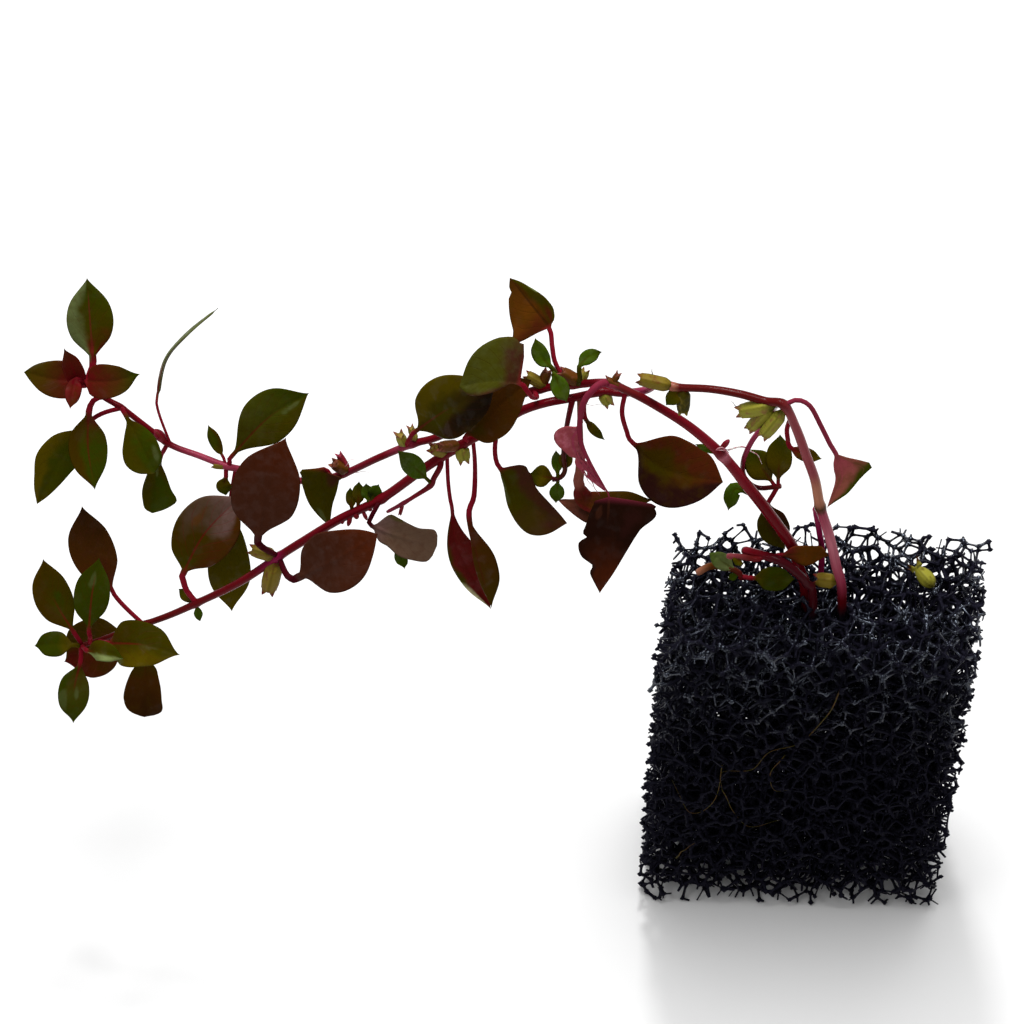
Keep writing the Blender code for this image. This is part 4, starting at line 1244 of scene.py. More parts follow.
@dataclass(frozen=True)
class Strand:
    """A root, fibre or hair: its route and its radius in mm."""

    route: tuple[Place, ...]
    radius: float

    def surface(self) -> Surface:
        """A thin tube that narrows towards its tip and wanders a little.

        It strays 0.12 mm x sin(pi t) sin(13 t + 40 radius) sideways.

        Returns:
            The tube, its along value from 0 to 1.
        """
        line = smooth_route(VIEW.spots(self.route), 0.5)
        t = np.linspace(0.0, 1.0, len(line))
        frames = facing_frames(line)
        sway = 0.12 * np.sin(math.pi * t) * np.sin(13.0 * t + 40.0 * self.radius)
        line = line + frames[0] * sway[:, None]
        reach = (self.radius * (1.0 - 0.7 * t))[:, None]
        rings = rings_about(line, frames, (reach, reach), turns(6))
        return Surface.closed(rings, {"along": np.broadcast_to(t[:, None], rings.shape[:2])})


@dataclass(frozen=True)
class StrandFinish:
    """A fibre's colour, mottled along it."""

    tone: Tone
    other: Tone

    def material(self, name: str) -> bpy.types.Material:
        """Two tones in short uneven stretches.

        Args:
            name: the material's name.

        Returns:
            The material.
        """
        mat = Recipe(name)
        colour = mat.mix(mat.rise(mat.noise(FIBRE_PATCHES), 0.35, 0.65), self.tone, self.other)
        roughness = mat.scaled(mat.noise(FIBRE_DULLNESS), 0.3, 0.35)
        return mat.done(colour, roughness, mat.bump(mat.noise(FIBRE_SKIN), 0.03, 0.5), 0.06)


FOAM_ARCS = Grain(4.0)
FOAM_DUSTING = Grain(2.6, 4.0, 0.65)
FOAM_DULLNESS = Grain(1.4, 3.0)
FOAM_SKIN = Grain(0.35, 3.0)


@dataclass
class Struts:
    """Struts of the foam: their ends in mm, their two knots, and the bubbles beside them.

    `cut` tells which ones a face of the slab cuts off.
    """

    start: Array
    end: Array
    pairs: Array
    threes: Array
    cut: Array


@dataclass(frozen=True)
class FoamSlab:
    """Black open-cell foam: struts where bubbles meet, cut by hand to a slab.

    Bubbles sit in a loose body-centred packing with `cell` mm between its corners, tilted
    off the slab's faces. `stray` is how far they move off it, as a share of the cell. Radii
    are of a strut's middle, its flared ends, its cut tips and the knots where struts meet.
    At the cut faces they are `slim` times that, up to `skin` mm deep. `lip` is how far the
    cells at the middle of the top's back edge stand up. `clear` mm are left beside stems.
    """

    node: str = "foam_block"
    wide: float = 54.0
    deep: float = 25.0
    tall: float = 82.0
    cell: float = 4.58
    stray: float = 0.24
    tilt: tuple[float, float] = (23.0, 31.0)
    middle: float = 0.34
    flare: float = 0.62
    tip: float = 0.2
    knot: float = 0.68
    slim: float = 0.8
    skin: float = 4.5
    lip: float = 3.2
    ripple: float = 0.45
    clear: float = 0.05
    shortest: float = 0.3
    bands: int = 4
    seed: int = 11
    neighbours: int = 40
    closest: int = 24
    later: int = 16
    batch: int = 400
    corners: tuple[tuple[tuple[int, int, int], Place], ...] = (
        ((0, 0, 1), (-1.5, 0.0, 0.0)), ((1, 0, 1), (-0.9, 0.8, 0.6)),
        ((0, 1, 1), (1.2, 0.2, 0.2)), ((1, 1, 1), (1.6, 1.0, 1.2)),
        ((0, 0, 0), (-1.8, 0.0, 0.0)), ((1, 0, 0), (0.4, 1.2, 0.0)),
    )

    def bubbles(self, chance: np.random.Generator) -> Array:
        """Middles of the bubbles in and round the square slab.

        Args:
            chance: where random numbers come from.

        Returns:
            One middle in mm a row.
        """
        reach = np.array((self.wide / 2, self.deep / 2, self.tall / 2)) + 1.4 * self.cell
        count = math.ceil(np.linalg.norm(reach) / self.cell)
        numbers = np.arange(-count, count + 1)
        grid = np.stack(np.meshgrid(numbers, numbers, numbers, indexing="ij"), axis=-1)
        grid = grid.reshape(-1, 3)
        both = np.vstack((grid, grid + 0.5)) * self.cell
        first, second = (math.radians(angle) for angle in self.tilt)
        nod = np.array(((1.0, 0.0, 0.0), (0.0, math.cos(first), -math.sin(first)),
                        (0.0, math.sin(first), math.cos(first))))
        turn = np.array(((math.cos(second), -math.sin(second), 0.0),
                         (math.sin(second), math.cos(second), 0.0), (0.0, 0.0, 1.0)))
        both = both @ (turn @ nod).T
        both = both + chance.uniform(-self.stray, self.stray, both.shape) * self.cell
        both = both[np.all(np.abs(both) < reach, axis=1)]
        both = both[np.lexsort(both.T)]
        return both + (0.0, 0.0, self.tall / 2)

    def meetings(self, bubbles: Array) -> tuple[Array, Array]:
        """Points where four bubbles meet: those with no other bubble's middle nearer.

        Args:
            bubbles: middles of the bubbles.

        Returns:
            The points, and the four bubbles of each.
        """
        squares = np.sum(bubbles ** 2, axis=1)
        gaps = squares[:, None] + squares - 2 * bubbles @ bubbles.T
        near = np.argsort(gaps, axis=1)[:, 1:self.neighbours + 1]
        close = near[:, :self.closest]
        number = np.arange(len(bubbles))[:, None]
        order = np.argsort(close < number, axis=1, kind="stable")
        later = np.take_along_axis(close, order, axis=1)[:, :self.later]
        usable = np.take_along_axis(close > number, order, axis=1)[:, :self.later]
        threes = np.array(list(itertools.combinations(range(self.later), 3)))
        points, fours = [], []
        for start in range(0, len(bubbles), self.batch):
            rows = np.arange(start, min(start + self.batch, len(bubbles)))
            fit = usable[rows][:, threes].all(axis=2)
            first = np.broadcast_to(rows[:, None], fit.shape)[fit]
            point, size, four = self.centres(bubbles, first, later[rows][:, threes][fit])
            others = bubbles[near[four[:, 0]]]
            nearest = np.linalg.norm(others - point[:, None], axis=2).min(axis=1)
            empty = nearest > size - 1e-6
            points.append(point[empty])
            fours.append(np.sort(four[empty], axis=1))
        return np.vstack(points), np.vstack(fours)

    def centres(self, bubbles: Array, first: Array,
                rest: Array) -> tuple[Array, Array, Array]:
        """Points as far from all four bubbles of a set.

        With u, v, w from one bubble's middle to three neighbours', the point lies at
        (|u|^2 v x w + |v|^2 w x u + |w|^2 u x v) / (2 u . (v x w)) from it.

        Args:
            bubbles: middles of the bubbles.
            first: number of one bubble of each set.
            rest: numbers of its three others.

        Returns:
            The points within reach, their distance from their bubbles, and the four
            numbers of each.
        """
        u, v, w = (bubbles[rest[:, side]] - bubbles[first] for side in range(3))
        volume = 2 * np.sum(u * np.cross(v, w), axis=1)
        fair = np.abs(volume) > 1e-3
        u, v, w, first, rest = u[fair], v[fair], w[fair], first[fair], rest[fair]
        away = (np.sum(u * u, axis=1, keepdims=True) * np.cross(v, w)
                + np.sum(v * v, axis=1, keepdims=True) * np.cross(w, u)
                + np.sum(w * w, axis=1, keepdims=True) * np.cross(u, v))
        away = away / volume[fair][:, None]
        size = np.linalg.norm(away, axis=1)
        fair = size < 0.85 * self.cell
        four = np.column_stack((first, rest))[fair]
        return bubbles[first[fair]] + away[fair], size[fair], four

    def struts(self, fours: Array, count: int) -> tuple[Array, Array]:
        """Struts: pairs of meeting points that share three bubbles.

        Args:
            fours: the four bubbles of each meeting point.
            count: number of bubbles.

        Returns:
            The pairs of points, and the three bubbles of each.
        """
        threes = np.vstack([np.delete(fours, left_out, axis=1) for left_out in range(4)])
        owner = np.tile(np.arange(len(fours)), 4)
        key = (threes[:, 0] * count + threes[:, 1]) * count + threes[:, 2]
        order = np.argsort(key, kind="stable")
        same = np.nonzero(key[order][1:] == key[order][:-1])[0]
        return (np.column_stack((owner[order[same]], owner[order[same + 1]])),
                threes[order[same]])

    def depth(self, points: Array) -> Array:
        """How far inside the hand-cut faces the points are.

        The faces ripple as sines, and the top's back edge rises by `lip` at its middle.

        Args:
            points: places in the square slab.

        Returns:
            The depths in mm, less than 0 outside.
        """
        x, y, z = points.T
        side = self.wide / 2 + self.ripple * np.sin(0.83 * z + 0.4 * y) - np.abs(x)
        front = self.deep / 2 + self.ripple * np.sin(0.71 * z + 0.52 * x) - np.abs(y)
        top = self.tall + self.ripple * np.sin(0.77 * x + 0.6 * y) - z
        arch = np.clip(1.0 - (2.0 * x / self.wide) ** 2, 0.0, 1.0) ** 2
        top = top + self.lip * arch * step_up(y, 0.1 * self.deep, 0.5 * self.deep)
        return np.minimum.reduce((side, front, top, z))

    def bent(self, points: Array) -> Array:
        """Points of the square slab moved with its hand-cut corners.

        Each corner moves a point by its shift times the point's share of that corner.

        Args:
            points: places in the square slab.

        Returns:
            The moved places, none below the floor.
        """
        size = np.array((self.wide, self.deep, self.tall))
        share = points / size + (0.5, 0.5, 0.0)
        moved = points.copy()
        for corner, shift in self.corners:
            weight = np.prod(np.where(np.array(corner) == 1, share, 1.0 - share), axis=-1)
            moved = moved + weight[..., None] * np.array(shift)
        moved[..., 2] = np.maximum(moved[..., 2], 0.0)
        return moved

    def gap(self, points: Array, stem: Stem) -> Array:
        """Distance from the points to a stem's surface.

        Args:
            points: places in the square slab.
            stem: the stem.

        Returns:
            The distances in mm.
        """
        line, radii = stem.line(1.5)
        low = line[:, 2] < self.tall + 4.0
        away = np.linalg.norm(self.bent(points)[:, None] - line[low][None], axis=2)
        return (away - radii[low]).min(axis=1)

    def trimmed(self, points: Array, pairs: Array, threes: Array,
                stems: tuple[Stem, ...]) -> Struts:
        """The struts cut off at the slab's faces, without those that a stem fills.

        Args:
            points: the meeting points.
            pairs: the two points of each strut.
            threes: the three bubbles of each strut.
            stems: the stems that go into the foam.

        Returns:
            The struts, each from its deeper end.
        """
        inside = self.depth(points)[pairs]
        kept = inside.max(axis=1) > 0.0
        pairs, threes, inside = pairs[kept], threes[kept], inside[kept]
        swap = inside[:, 0] < inside[:, 1]
        pairs[swap] = pairs[swap][:, ::-1]
        inside[swap] = inside[swap][:, ::-1]
        start, end = points[pairs[:, 0]], points[pairs[:, 1]]
        cut = inside[:, 1] < 0.0
        share = np.where(cut, inside[:, 0] / (inside[:, 0] - inside[:, 1]), 1.0)
        end = start + (end - start) * share[:, None]
        room = np.min([self.gap(0.5 * (start + end), stem) for stem in stems], axis=0)
        good = (np.linalg.norm(end - start, axis=1) > self.shortest) & (room > self.clear)
        return Struts(start[good], end[good], pairs[good], threes[good], cut[good])

    def radii(self, struts: Struts, inside: Array,
              chance: np.random.Generator) -> tuple[Array, Array]:
        """Uneven radii of the struts, slim at the slab's faces, and of the knots.

        Args:
            struts: the struts.
            inside: how deep each meeting point lies.
            chance: where random numbers come from.

        Returns:
            Radii of each strut at its start, its middle stretch and its end, and of the
            knot at each meeting point.
        """
        first, last = struts.pairs.T
        length = np.linalg.norm(struts.end - struts.start, axis=1)
        random = chance.uniform(0.82, 1.2, len(inside))
        thin = self.middle * (1.25 - 0.12 * length) * chance.uniform(0.85, 1.2, len(length))
        thin = np.where(struts.cut, 0.8 * thin, thin)
        fat = self.slim + (1.0 - self.slim) * step_up(inside, 0.3 * self.skin, self.skin)
        tips = np.where(struts.cut, self.tip, self.flare * random[last] * fat[last])
        both = np.column_stack((self.flare * random[first] * fat[first],
                                thin * fat[struts.pairs].mean(axis=1), tips))
        return both, self.knot * (random * fat)

    def strut_surface(self, start: Array, end: Array, toward: Array,
                      radii: Array) -> Surface:
        """Three-sided struts, their corners turned away from the three bubbles beside them.

        Args:
            start: first ends.
            end: second ends.
            toward: middles of the three bubbles, as (strut, bubble, coordinate).
            radii: radius of each strut at its start, its middle stretch and its end.

        Returns:
            All struts as one surface, closed at both ends.
        """
        ahead = unit(end - start)
        corner = (0.5 * (start + end))[:, None] - toward
        corner = corner - ahead[:, None] * np.sum(corner * ahead[:, None], axis=2,
                                                  keepdims=True)
        corner = unit(corner)
        clockwise = np.sum(np.cross(corner[:, 0], corner[:, 1]) * ahead, axis=1) < 0
        corner[clockwise] = corner[clockwise][:, [0, 2, 1]]
        share = np.array((0.0, 0.3, 0.7, 1.0))[None, :, None, None]
        middle = start[:, None, None] + (end - start)[:, None, None] * share
        points = self.bent(middle + corner[:, None] * radii[:, (0, 1, 1, 2), None, None])
        first = np.arange(len(start))[:, None, None] * 12
        turn = np.arange(3)
        after = (turn + 1) % 3
        side = np.stack((turn, after, after + 3, turn + 3), axis=1)
        quads = (first + np.vstack((side, side + 3, side + 6))[None]).reshape(-1, 4)
        caps = (first + np.array(((2, 1, 0), (9, 10, 11)))[None]).reshape(-1, 3)
        return Surface(points.reshape(-1, 3), [quads, caps], {})

    def knot_surface(self, points: Array, radii: Array) -> Surface:
        """Small eight-sided lumps where struts meet.

        Args:
            points: the lumps' middles.
            radii: their radii.

        Returns:
            All lumps as one surface.
        """
        reach = np.vstack((np.eye(3), -np.eye(3)))
        corner = self.bent(points[:, None] + reach * radii[:, None, None])
        sides = np.array(((0, 1, 2), (1, 3, 2), (3, 4, 2), (4, 0, 2),
                          (1, 0, 5), (3, 1, 5), (4, 3, 5), (0, 4, 5)))
        faces = (np.arange(len(points))[:, None, None] * 6 + sides[None]).reshape(-1, 3)
        return Surface(corner.reshape(-1, 3), [faces], {})

    def material(self) -> bpy.types.Material:
        """Near-black plastic, dull with fine dust, and glossy in arcs towards the top.

        Returns:
            The material.
        """
        mat = Recipe("foam_plastic")
        up = mat.node("SeparateXYZ", {0: mat.place}, 2)
        height = mat.rise(up, 0.55 * self.tall * MM, self.tall * MM)
        arcs = mat.rise(mat.noise(FOAM_ARCS), 0.46, 0.66)
        gloss = mat.scaled(mat.times(height, arcs), 1.0, 0.02)
        mat.feed(mat.shader.inputs["Specular Tint"], Tone.FOAM_SHINE)
        dust = mat.lumps(FOAM_DUSTING, (0.45, 0.75), 0.3)
        colour = mat.mix(dust, Tone.FOAM, Tone.FOAM_DUST)
        roughness = mat.scaled(mat.noise(FOAM_DULLNESS), 0.22, 0.08)
        return mat.done(colour, roughness, mat.bump(mat.noise(FOAM_SKIN), 0.08, 0.6), gloss)

    def make(self, stems: tuple[Stem, ...]) -> None:
        """Make the foam in bands from the foot up, with room for the stems in it.

        Args:
            stems: the stems that go into the foam.
        """
        chance = np.random.default_rng(self.seed)
        bubbles = self.bubbles(chance)
        points, fours = self.meetings(bubbles)
        struts = self.trimmed(points, *self.struts(fours, len(bubbles)), stems)
        inside = self.depth(points)
        radii, knot_radii = self.radii(struts, inside, chance)
        knots = np.unique(struts.pairs[inside[struts.pairs] > 0.0])
        material = self.material()
        edges = np.linspace(0.0, self.tall, self.bands + 1)
        edges[-1] += self.cell
        middle = 0.5 * (struts.start + struts.end)[:, 2]
        for band, (low, high) in enumerate(zip(edges[:-1], edges[1:])):
            here = (middle >= low) & (middle < high)
            lumps = knots[(points[knots, 2] >= low) & (points[knots, 2] < high)]
            parts = [self.strut_surface(struts.start[here], struts.end[here],
                                        bubbles[struts.threes[here]], radii[here]),
                     self.knot_surface(points[lumps], knot_radii[lumps])]
            Surface.joined(parts).make(f"foam_cells_{band + 1}", material, "foam",
                                       (self.node,))


@dataclass(frozen=True)
class Leaflet:
    """A tiny leaf on a node, fused to its stem in the solid: from the stem to its tip."""

    node: str
    base: Place
    tip: Place
    radius: float
    finish: LeafFinish

    def leaf(self, number: int) -> Leaf:
        """The leaflet as a leaf on a stalk an eighth of its length.

        Args:
            number: its number among the leaflets.

        Returns:
            The leaf.
        """
        base, tip = np.array(self.base), np.array(self.tip)
        knee, start, middle = (base + (tip - base) * share for share in (1 / 16, 1 / 8, 0.55))
        return Leaf(self.node, (self.base, tuple(knee)), (tuple(start), tuple(middle), self.tip),
                    2.0 * self.radius, self.finish, 0.5, 0.65, stalk_radius=0.3, wavy=0.15,
                    name=f"{self.node}_leaflet_{number}")


T = Tone

ROSETTE_RED = LeafFinish(T.DEEP_RED, T.RED_BROWN, T.GREEN, T.RED_BROWN, 0.4, mottled=0.25)
FRESH = LeafFinish(T.FRESH_GREEN, T.FRESH_GREEN, T.GREEN, T.OLIVE, 0.5, T.OLIVE,
                   back=T.GREY_GREEN, mottle=T.GREY_GREEN, mottled=0.3, veined=0.05,
                   rough=0.3, slot="green_leaf")
PALE_YOUNG = LeafFinish(T.GREY_GREEN, T.GREY_GREEN, T.FRESH_GREEN, T.OLIVE, 0.5, T.OLIVE,
                        back=T.PALE_GREEN, mottle=T.PALE_GREEN, rough=0.3,
                        slot="pale_green_leaf")
CURLED = LeafFinish(T.DEEP_GREEN, T.DEEP_GREEN, T.FRESH_GREEN, T.OLIVE, 0.4,
                    back=T.FRESH_GREEN, mottle=T.FRESH_GREEN, slot="green_leaf")
YOUNG = LeafFinish(T.BROWN_OLIVE, T.YELLOW_OLIVE, T.GREEN, T.RED_BROWN, 0.4,
                   mottle=T.OLIVE, rough=0.35, slot="green_leaf")
SEEN_BELOW = LeafFinish(T.PURPLE_BROWN, T.PURPLE_BROWN, T.RED_BROWN, T.PURPLE_BROWN, 0.45,
                        T.DARK_CRIMSON, back=T.OLIVE, mottle=T.PURPLE_GREY, mottled=0.12,
                        veined=0.06, rough=0.62, slot="purple_leaf_underside")

TORN_STRIP = LeafFinish(T.DUSTY_PINK, T.DUSTY_PINK, T.ROSE, T.PINK, 0.9, back=T.DUSTY_PINK,
                        mottle=T.PALE_ROSE, mottled=0.6, veined=0.5, slot="crimson_stem")

LEAVES = (
    Leaf("upper_tip_leaf_up",
         ((86, 384, 22.0), (89, 375, 23.0), (92, 368, 23.8)),
         ((93, 361, 24.6), (90, 320, 28.8), (87, 278, 33.0)), 8.0,
         LeafFinish(T.DEEP_RED, T.OLIVE, T.GREEN, T.BROWN_CRIMSON, 0.85,
                    # The grey-green left half is painted sheen.
                    left=T.GREY_GREEN, patches=(Patch(0.9, 0.0, 0.3, T.GREEN),
                                                Patch(0.04, 0.0, 0.34, T.DEEP_RED, 0.8),
                                                Patch(0.2, 0.4, 0.3, T.BROWN_OLIVE))),
         0.5, stalk_radius=0.45, stalk_end=1.4),
    Leaf("upper_tip_leaf_left",
         ((88, 383, 22.6), (86, 382, 22.5)),
         ((84, 382, 22.4), (52, 379, 21.3), (24, 372, 21.0)), 6.6,
         LeafFinish(T.DEEP_RED, T.RED_BROWN, T.OLIVE, T.DEEP_RED, 0.2, mottled=0.15,
                    patches=(Patch(0.15, 0.0, 0.62, T.DEEP_RED, 0.9),)),
         left=(2.6, 3.1, 3.1, 2.4, 1.1, 0.0), right=(2.9, 3.3, 3.3, 2.7, 1.5, 0.0), foot=0.1),
    Leaf("upper_tip_leaf_small_up",
         ((85, 386, 22.2), (82, 386, 20.8)),
         ((80, 385, 20.6), (72, 367, 20.4), (64, 348, 21.2)), 3.5,
         LeafFinish(T.CRIMSON, T.DEEP_RED, T.RED_BROWN, T.CRIMSON, mottle=T.RED_BROWN,
                    slot="brown_leaf"), 0.42, 0.5, foot=0.08),
    Leaf("upper_tip_leaf_small_down",
         ((84, 380, 22.3), (79, 379, 20.4)),
         ((76, 379, 20.0), (73, 393, 17.4), (70, 409, 15.0)), 2.8,
         LeafFinish(T.CRIMSON, T.DEEP_RED, T.RED_BROWN, T.BROWN_CRIMSON,
                    right=T.BROWN_CRIMSON, slot="pale_green_leaf"), 0.4, 0.5, foot=0.08),
    Leaf("upper_tip_leaf_right",
         ((85, 383, 22.2), (88, 380, 20.6)),
         ((86, 381, 20.4), (112, 381, 19.8), (140, 374, 20.0)), 6.0, ROSETTE_RED, 0.32, 0.6,
         foot=0.06),
    Leaf("upper_tip_leaf_down",
         ((103, 397, 21.1), (95, 399, 20.0), (91, 405, 19.2)),
         ((89, 411, 18.6), (88, 448, 13.8), (95, 490, 9.0)), 6.7,
         LeafFinish(T.RED_BROWN, T.GREEN, T.GREEN, T.DEEP_RED, 0.75, right=T.BROWN_OLIVE),
         0.46, stalk_radius=0.4, stalk_end=1.4),
    Leaf("upper_tip_leaf_low_left",
         ((122, 408, 20.0), (106, 412, 19.2), (94, 418, 19.0)),
         ((84, 428, 18.6), (62, 458, 15.5), (37, 504, 11.0)), 7.8,
         LeafFinish(T.OLIVE, T.GREEN, T.OLIVE, T.OLIVE, 0.0, right=T.YELLOW_OLIVE,
                    slot="green_leaf"),
         left=(2.2, 3.0, 2.6, 1.9, 0.9, 0.0), right=(2.4, 3.7, 4.1, 2.9, 1.5, 0.0)),
    Leaf("upper_leaf_last_node",
         ((122, 408, 20.0), (123, 411, 18.4)),
         ((125, 414, 17.8), (139, 442, 14.4), (155, 473, 11.4)), 7.2,
         LeafFinish(T.BROWN_OLIVE, T.GREEN, T.GREEN, T.OLIVE, 0.5, right=T.OLIVE,
                    # The grey-green blotch is painted sheen.
                    patches=(Patch(0.75, -0.6, 0.3, T.GREY_GREEN, 0.6),), slot="green_leaf"),
         left=(0.8, 2.0, 2.8, 2.7, 2.0, 0.5), right=(0.6, 1.9, 3.4, 3.8, 2.6, 0.8)),
    Leaf("upper_leaf_blunt",
         ((168, 443, 16.6), (163, 452, 16.4)),
         ((160, 459, 16.2), (157, 486, 13.2), (152, 513, 10.4)), 5.8,
         LeafFinish(T.BROWN_OLIVE, T.GREEN, T.GREEN, T.OLIVE, 0.3, right=T.OLIVE,
                    # The grey-green blotch is painted sheen.
                    patches=(Patch(0.25, 0.1, 0.2, T.GREY_GREEN, 0.6),), slot="green_leaf"),
         left=(0.7, 1.5, 2.5, 3.8, 3.2, 0.4), right=(1.4, 2.0, 2.4, 2.3, 2.1, 1.3),
         stations=(0.12, 0.3, 0.5, 0.71, 0.78, 1.0)),
    Leaf("upper_leaf_edge_on",
         ((171, 445, 16.5), (163, 425, 17.6), (158, 410, 19.0)),
         ((157, 398, 20.0), (165, 360, 25.0), (188, 333, 29.0), (218, 308, 33.0)), 8.0,
         LeafFinish(T.BROWN_CRIMSON, T.GREY_GREEN, T.GREY_GREEN, T.GREY_GREEN, 0.0,
                    slot="pale_green_leaf"), 0.5, turn=88.0, fold=0.0, wavy=0.1, thick=0.4,
         stalk_radius=0.24),
    Leaf("upper_leaf_right_up",
         ((229, 466, 14.0), (230, 461, 14.3)),
         ((232, 456, 14.6), (268, 418, 17.0), (309, 393, 19.0)), 8.8,
         LeafFinish(T.OLIVE, T.MOSS, T.GREEN, T.DEEP_RED, 0.6, right=T.OLIVE,
                    # The grey-green blotch near the tip is painted sheen.
                    patches=(Patch(0.8, 0.2, 0.2, T.GREY_GREEN, 0.5),), slot="green_leaf"),
         0.56, 0.75, foot=0.5),
    Leaf("upper_leaf_small_up",
         ((226, 466, 14.0), (223, 456, 15.0)),
         ((222, 455, 15.1), (215, 441, 16.3), (208, 425, 17.9)), 2.1,
         LeafFinish(T.BROWN_OLIVE, T.GREEN, T.GREEN, T.BROWN_OLIVE, 0.2,
                    right=T.BROWN_OLIVE), 0.5, 0.6, foot=0.1, stalk_radius=0.25),
    Leaf("upper_leaf_small_down",
         ((226, 466, 14.0), (226, 475, 13.2)),
         ((226, 477, 13.0), (224, 485, 12.2), (226, 495, 11.4)), 2.8, YOUNG, 0.5),
    Leaf("upper_leaf_hanging_behind",
         ((236, 468, 14.0), (233, 485, 13.2), (231, 497, 12.8)),
         ((231, 503, 12.4), (229, 560, 8.2), (232, 611, 4.6)), 7.6,
         LeafFinish(T.OLIVE, T.OLIVE, T.YELLOW_OLIVE, T.BROWN, 0.3, mottle=T.YELLOW_OLIVE),
         0.6, 0.75),
    Leaf("upper_leaf_tapering",
         ((343, 474, 13.0), (335, 480, 11.6)),
         ((324, 469, 11.6), (322, 495, 9.6), (329, 526, 7.4)), 7.0,
         LeafFinish(T.OLIVE, T.OLIVE, T.OLIVE, T.BROWN_OLIVE, 0.3,
                    # The grey-green blotch near the tip is painted sheen.
                    patches=(Patch(0.1, -0.6, 0.5, T.PURPLE_BROWN),
                             Patch(0.85, 0.5, 0.35, T.GREY_GREEN, 0.6))),
         left=(3.0, 3.0, 2.6, 1.5, 0.5, 0.0), right=(3.2, 3.5, 3.0, 1.9, 0.7, 0.0),
         stations=(0.05, 0.15, 0.37, 0.66, 0.9, 1.0), foot=0.06),
    Leaf("upper_leaf_big",
         ((406, 446, 12.4), (410, 438, 11.0)),
         ((416, 431, 10.0), (450, 408, 7.0), (493, 390, 5.6)), 10.6,
         LeafFinish(T.BROWN_OLIVE, T.OLIVE, T.DARK_PURPLE, T.BROWN_CRIMSON, 0.45,
                    left=T.YELLOW_OLIVE, rough=0.5,
                    patches=(Patch(0.5, 0.7, 0.5, T.DARK_BROWN),
                             Patch(0.75, 0.6, 0.5, T.NEAR_BLACK),
                             Patch(1.0, 0.5, 0.65, T.NEAR_BLACK)), veined=0.06,
                    mottled=0.12),
         left=(1.8, 4.3, 5.5, 5.0, 2.9, 0.0), right=(1.8, 4.0, 4.9, 4.5, 3.0, 0.4)),
    Leaf("upper_leaf_rounded",
         ((534, 391, 11.2), (537, 397, 8.2), (532, 397, 5.4), (527, 391, 4.8)),
         ((519, 383, 4.8), (490, 381, 4.0), (459, 387, 3.8)), 9.4,
         LeafFinish(T.PURPLE_BROWN, T.MOSS, T.MOSS, T.BROWN_OLIVE, 0.0,
                    left=T.PURPLE_BROWN, edge=0.5, veined=0.22, mottled=0.15,
                    mottle=T.GREY_GREEN,
                    patches=(Patch(0.1, 0.6, 0.35, T.PURPLE_BROWN),
                             Patch(0.5, 0.1, 0.45, T.MOSS)),
                    slot="pale_green_leaf"),
         left=(0.2, 0.3, 1.3, 2.0, 2.1, 2.0, 1.7, 0.5),
         right=(4.2, 6.5, 7.1, 6.1, 5.0, 3.6, 2.2, 0.3),
         stations=(0.03, 0.12, 0.3, 0.5, 0.62, 0.75, 0.86, 1.0), foot=0.02),
    Leaf("upper_leaf_top_folded",
         ((580, 384, 10.0), (564, 376, 12.0), (555, 362, 13.6), (552, 345, 15.6)),
         ((549, 328, 17.6), (530, 303, 20.0), (510, 278, 22.0)), 8.3,
         LeafFinish(T.RED_BROWN, T.ORANGE_BROWN, T.BROWN, T.DARK_BROWN, 0.9,
                    right=T.OLIVE, patches=(Patch(0.15, 0.6, 0.4, T.RED_BROWN),
                                            Patch(0.65, 1.0, 0.2, T.PALE_GREEN, 0.8)),
                    veined=0.05, slot="brown_leaf"),
         left=(3.8, 6.0, 5.0, 2.7, 1.4, 0.0), right=(1.2, 2.2, 2.6, 1.5, 0.9, 0.0),
         stations=(0.05, 0.15, 0.35, 0.73, 0.86, 1.0), fold=12.0, foot=0.04,
         bites=(Bite(-1, 0.83, 0.4, 0.03),)),
    Leaf("upper_leaf_small_green_left",
         ((562, 386, 10.6), (555, 372, 12.0)),
         ((552, 368, 12.2), (541, 356, 13.3), (535, 338, 15.2)), 2.8, FRESH, 0.5, 0.6),
    Leaf("upper_leaf_small_green_front",
         ((558, 386, 10.7), (554, 377, 9.2)),
         ((554, 373, 9.0), (560, 388, 7.4), (567, 402, 5.8)), 3.0, FRESH, 0.5, 0.5),
    Leaf("upper_leaf_small_green_right",
         ((578, 385, 9.9), (580, 378, 8.6), (579, 371, 8.8)),
         ((579, 367, 9.0), (588, 357, 10.4), (602, 352, 11.8)), 2.4, FRESH, 0.45, 0.6),
    Leaf("upper_leaf_dark_torn",
         ((608, 383, 9.0), (597, 386, 6.6), (585, 400, 5.4), (580, 420, 4.4),
          (581, 442, 3.2), (590, 463, 1.8), (606, 490, 0.2)),
         ((609, 497, -0.4), (606, 540, -4.4), (600, 593, -9.0)), 11.0,
         LeafFinish(T.MAROON, T.MAROON, T.RED_BROWN, T.PURPLE_BROWN, 0.25, T.FUCHSIA,
                    right=T.MAROON, patches=(Patch(0.22, -0.55, 0.3, T.DARK_PURPLE),
                                             Patch(0.15, 0.5, 0.2, T.PURPLE_BROWN, 0.6)),
                    edge=0.5, rough=0.55, mottle=T.DARK_PURPLE, mottled=0.2, veined=0.04,
                    slot="dark_leaf"),
         left=(6.5, 7.7, 5.5, 3.6, 1.75, 0.0), right=(2.0, 2.5, 3.6, 4.5, 2.3, 0.0),
         stations=(0.03, 0.08, 0.29, 0.53, 0.78, 1.0), stalk_radius=0.6, stalk_end=0.15,
         foot=0.03, bites=(Bite(1, 0.42, 0.25, 0.03), Bite(1, 0.72, 0.4, 0.05))),
    Leaf("upper_leaf_dark_torn",
         ((581, 421, 4.5), (580, 424, 4.3)),
         ((579, 427, 4.1), (574, 448, 3.4), (606, 492, 0.4)), 4.4, TORN_STRIP,
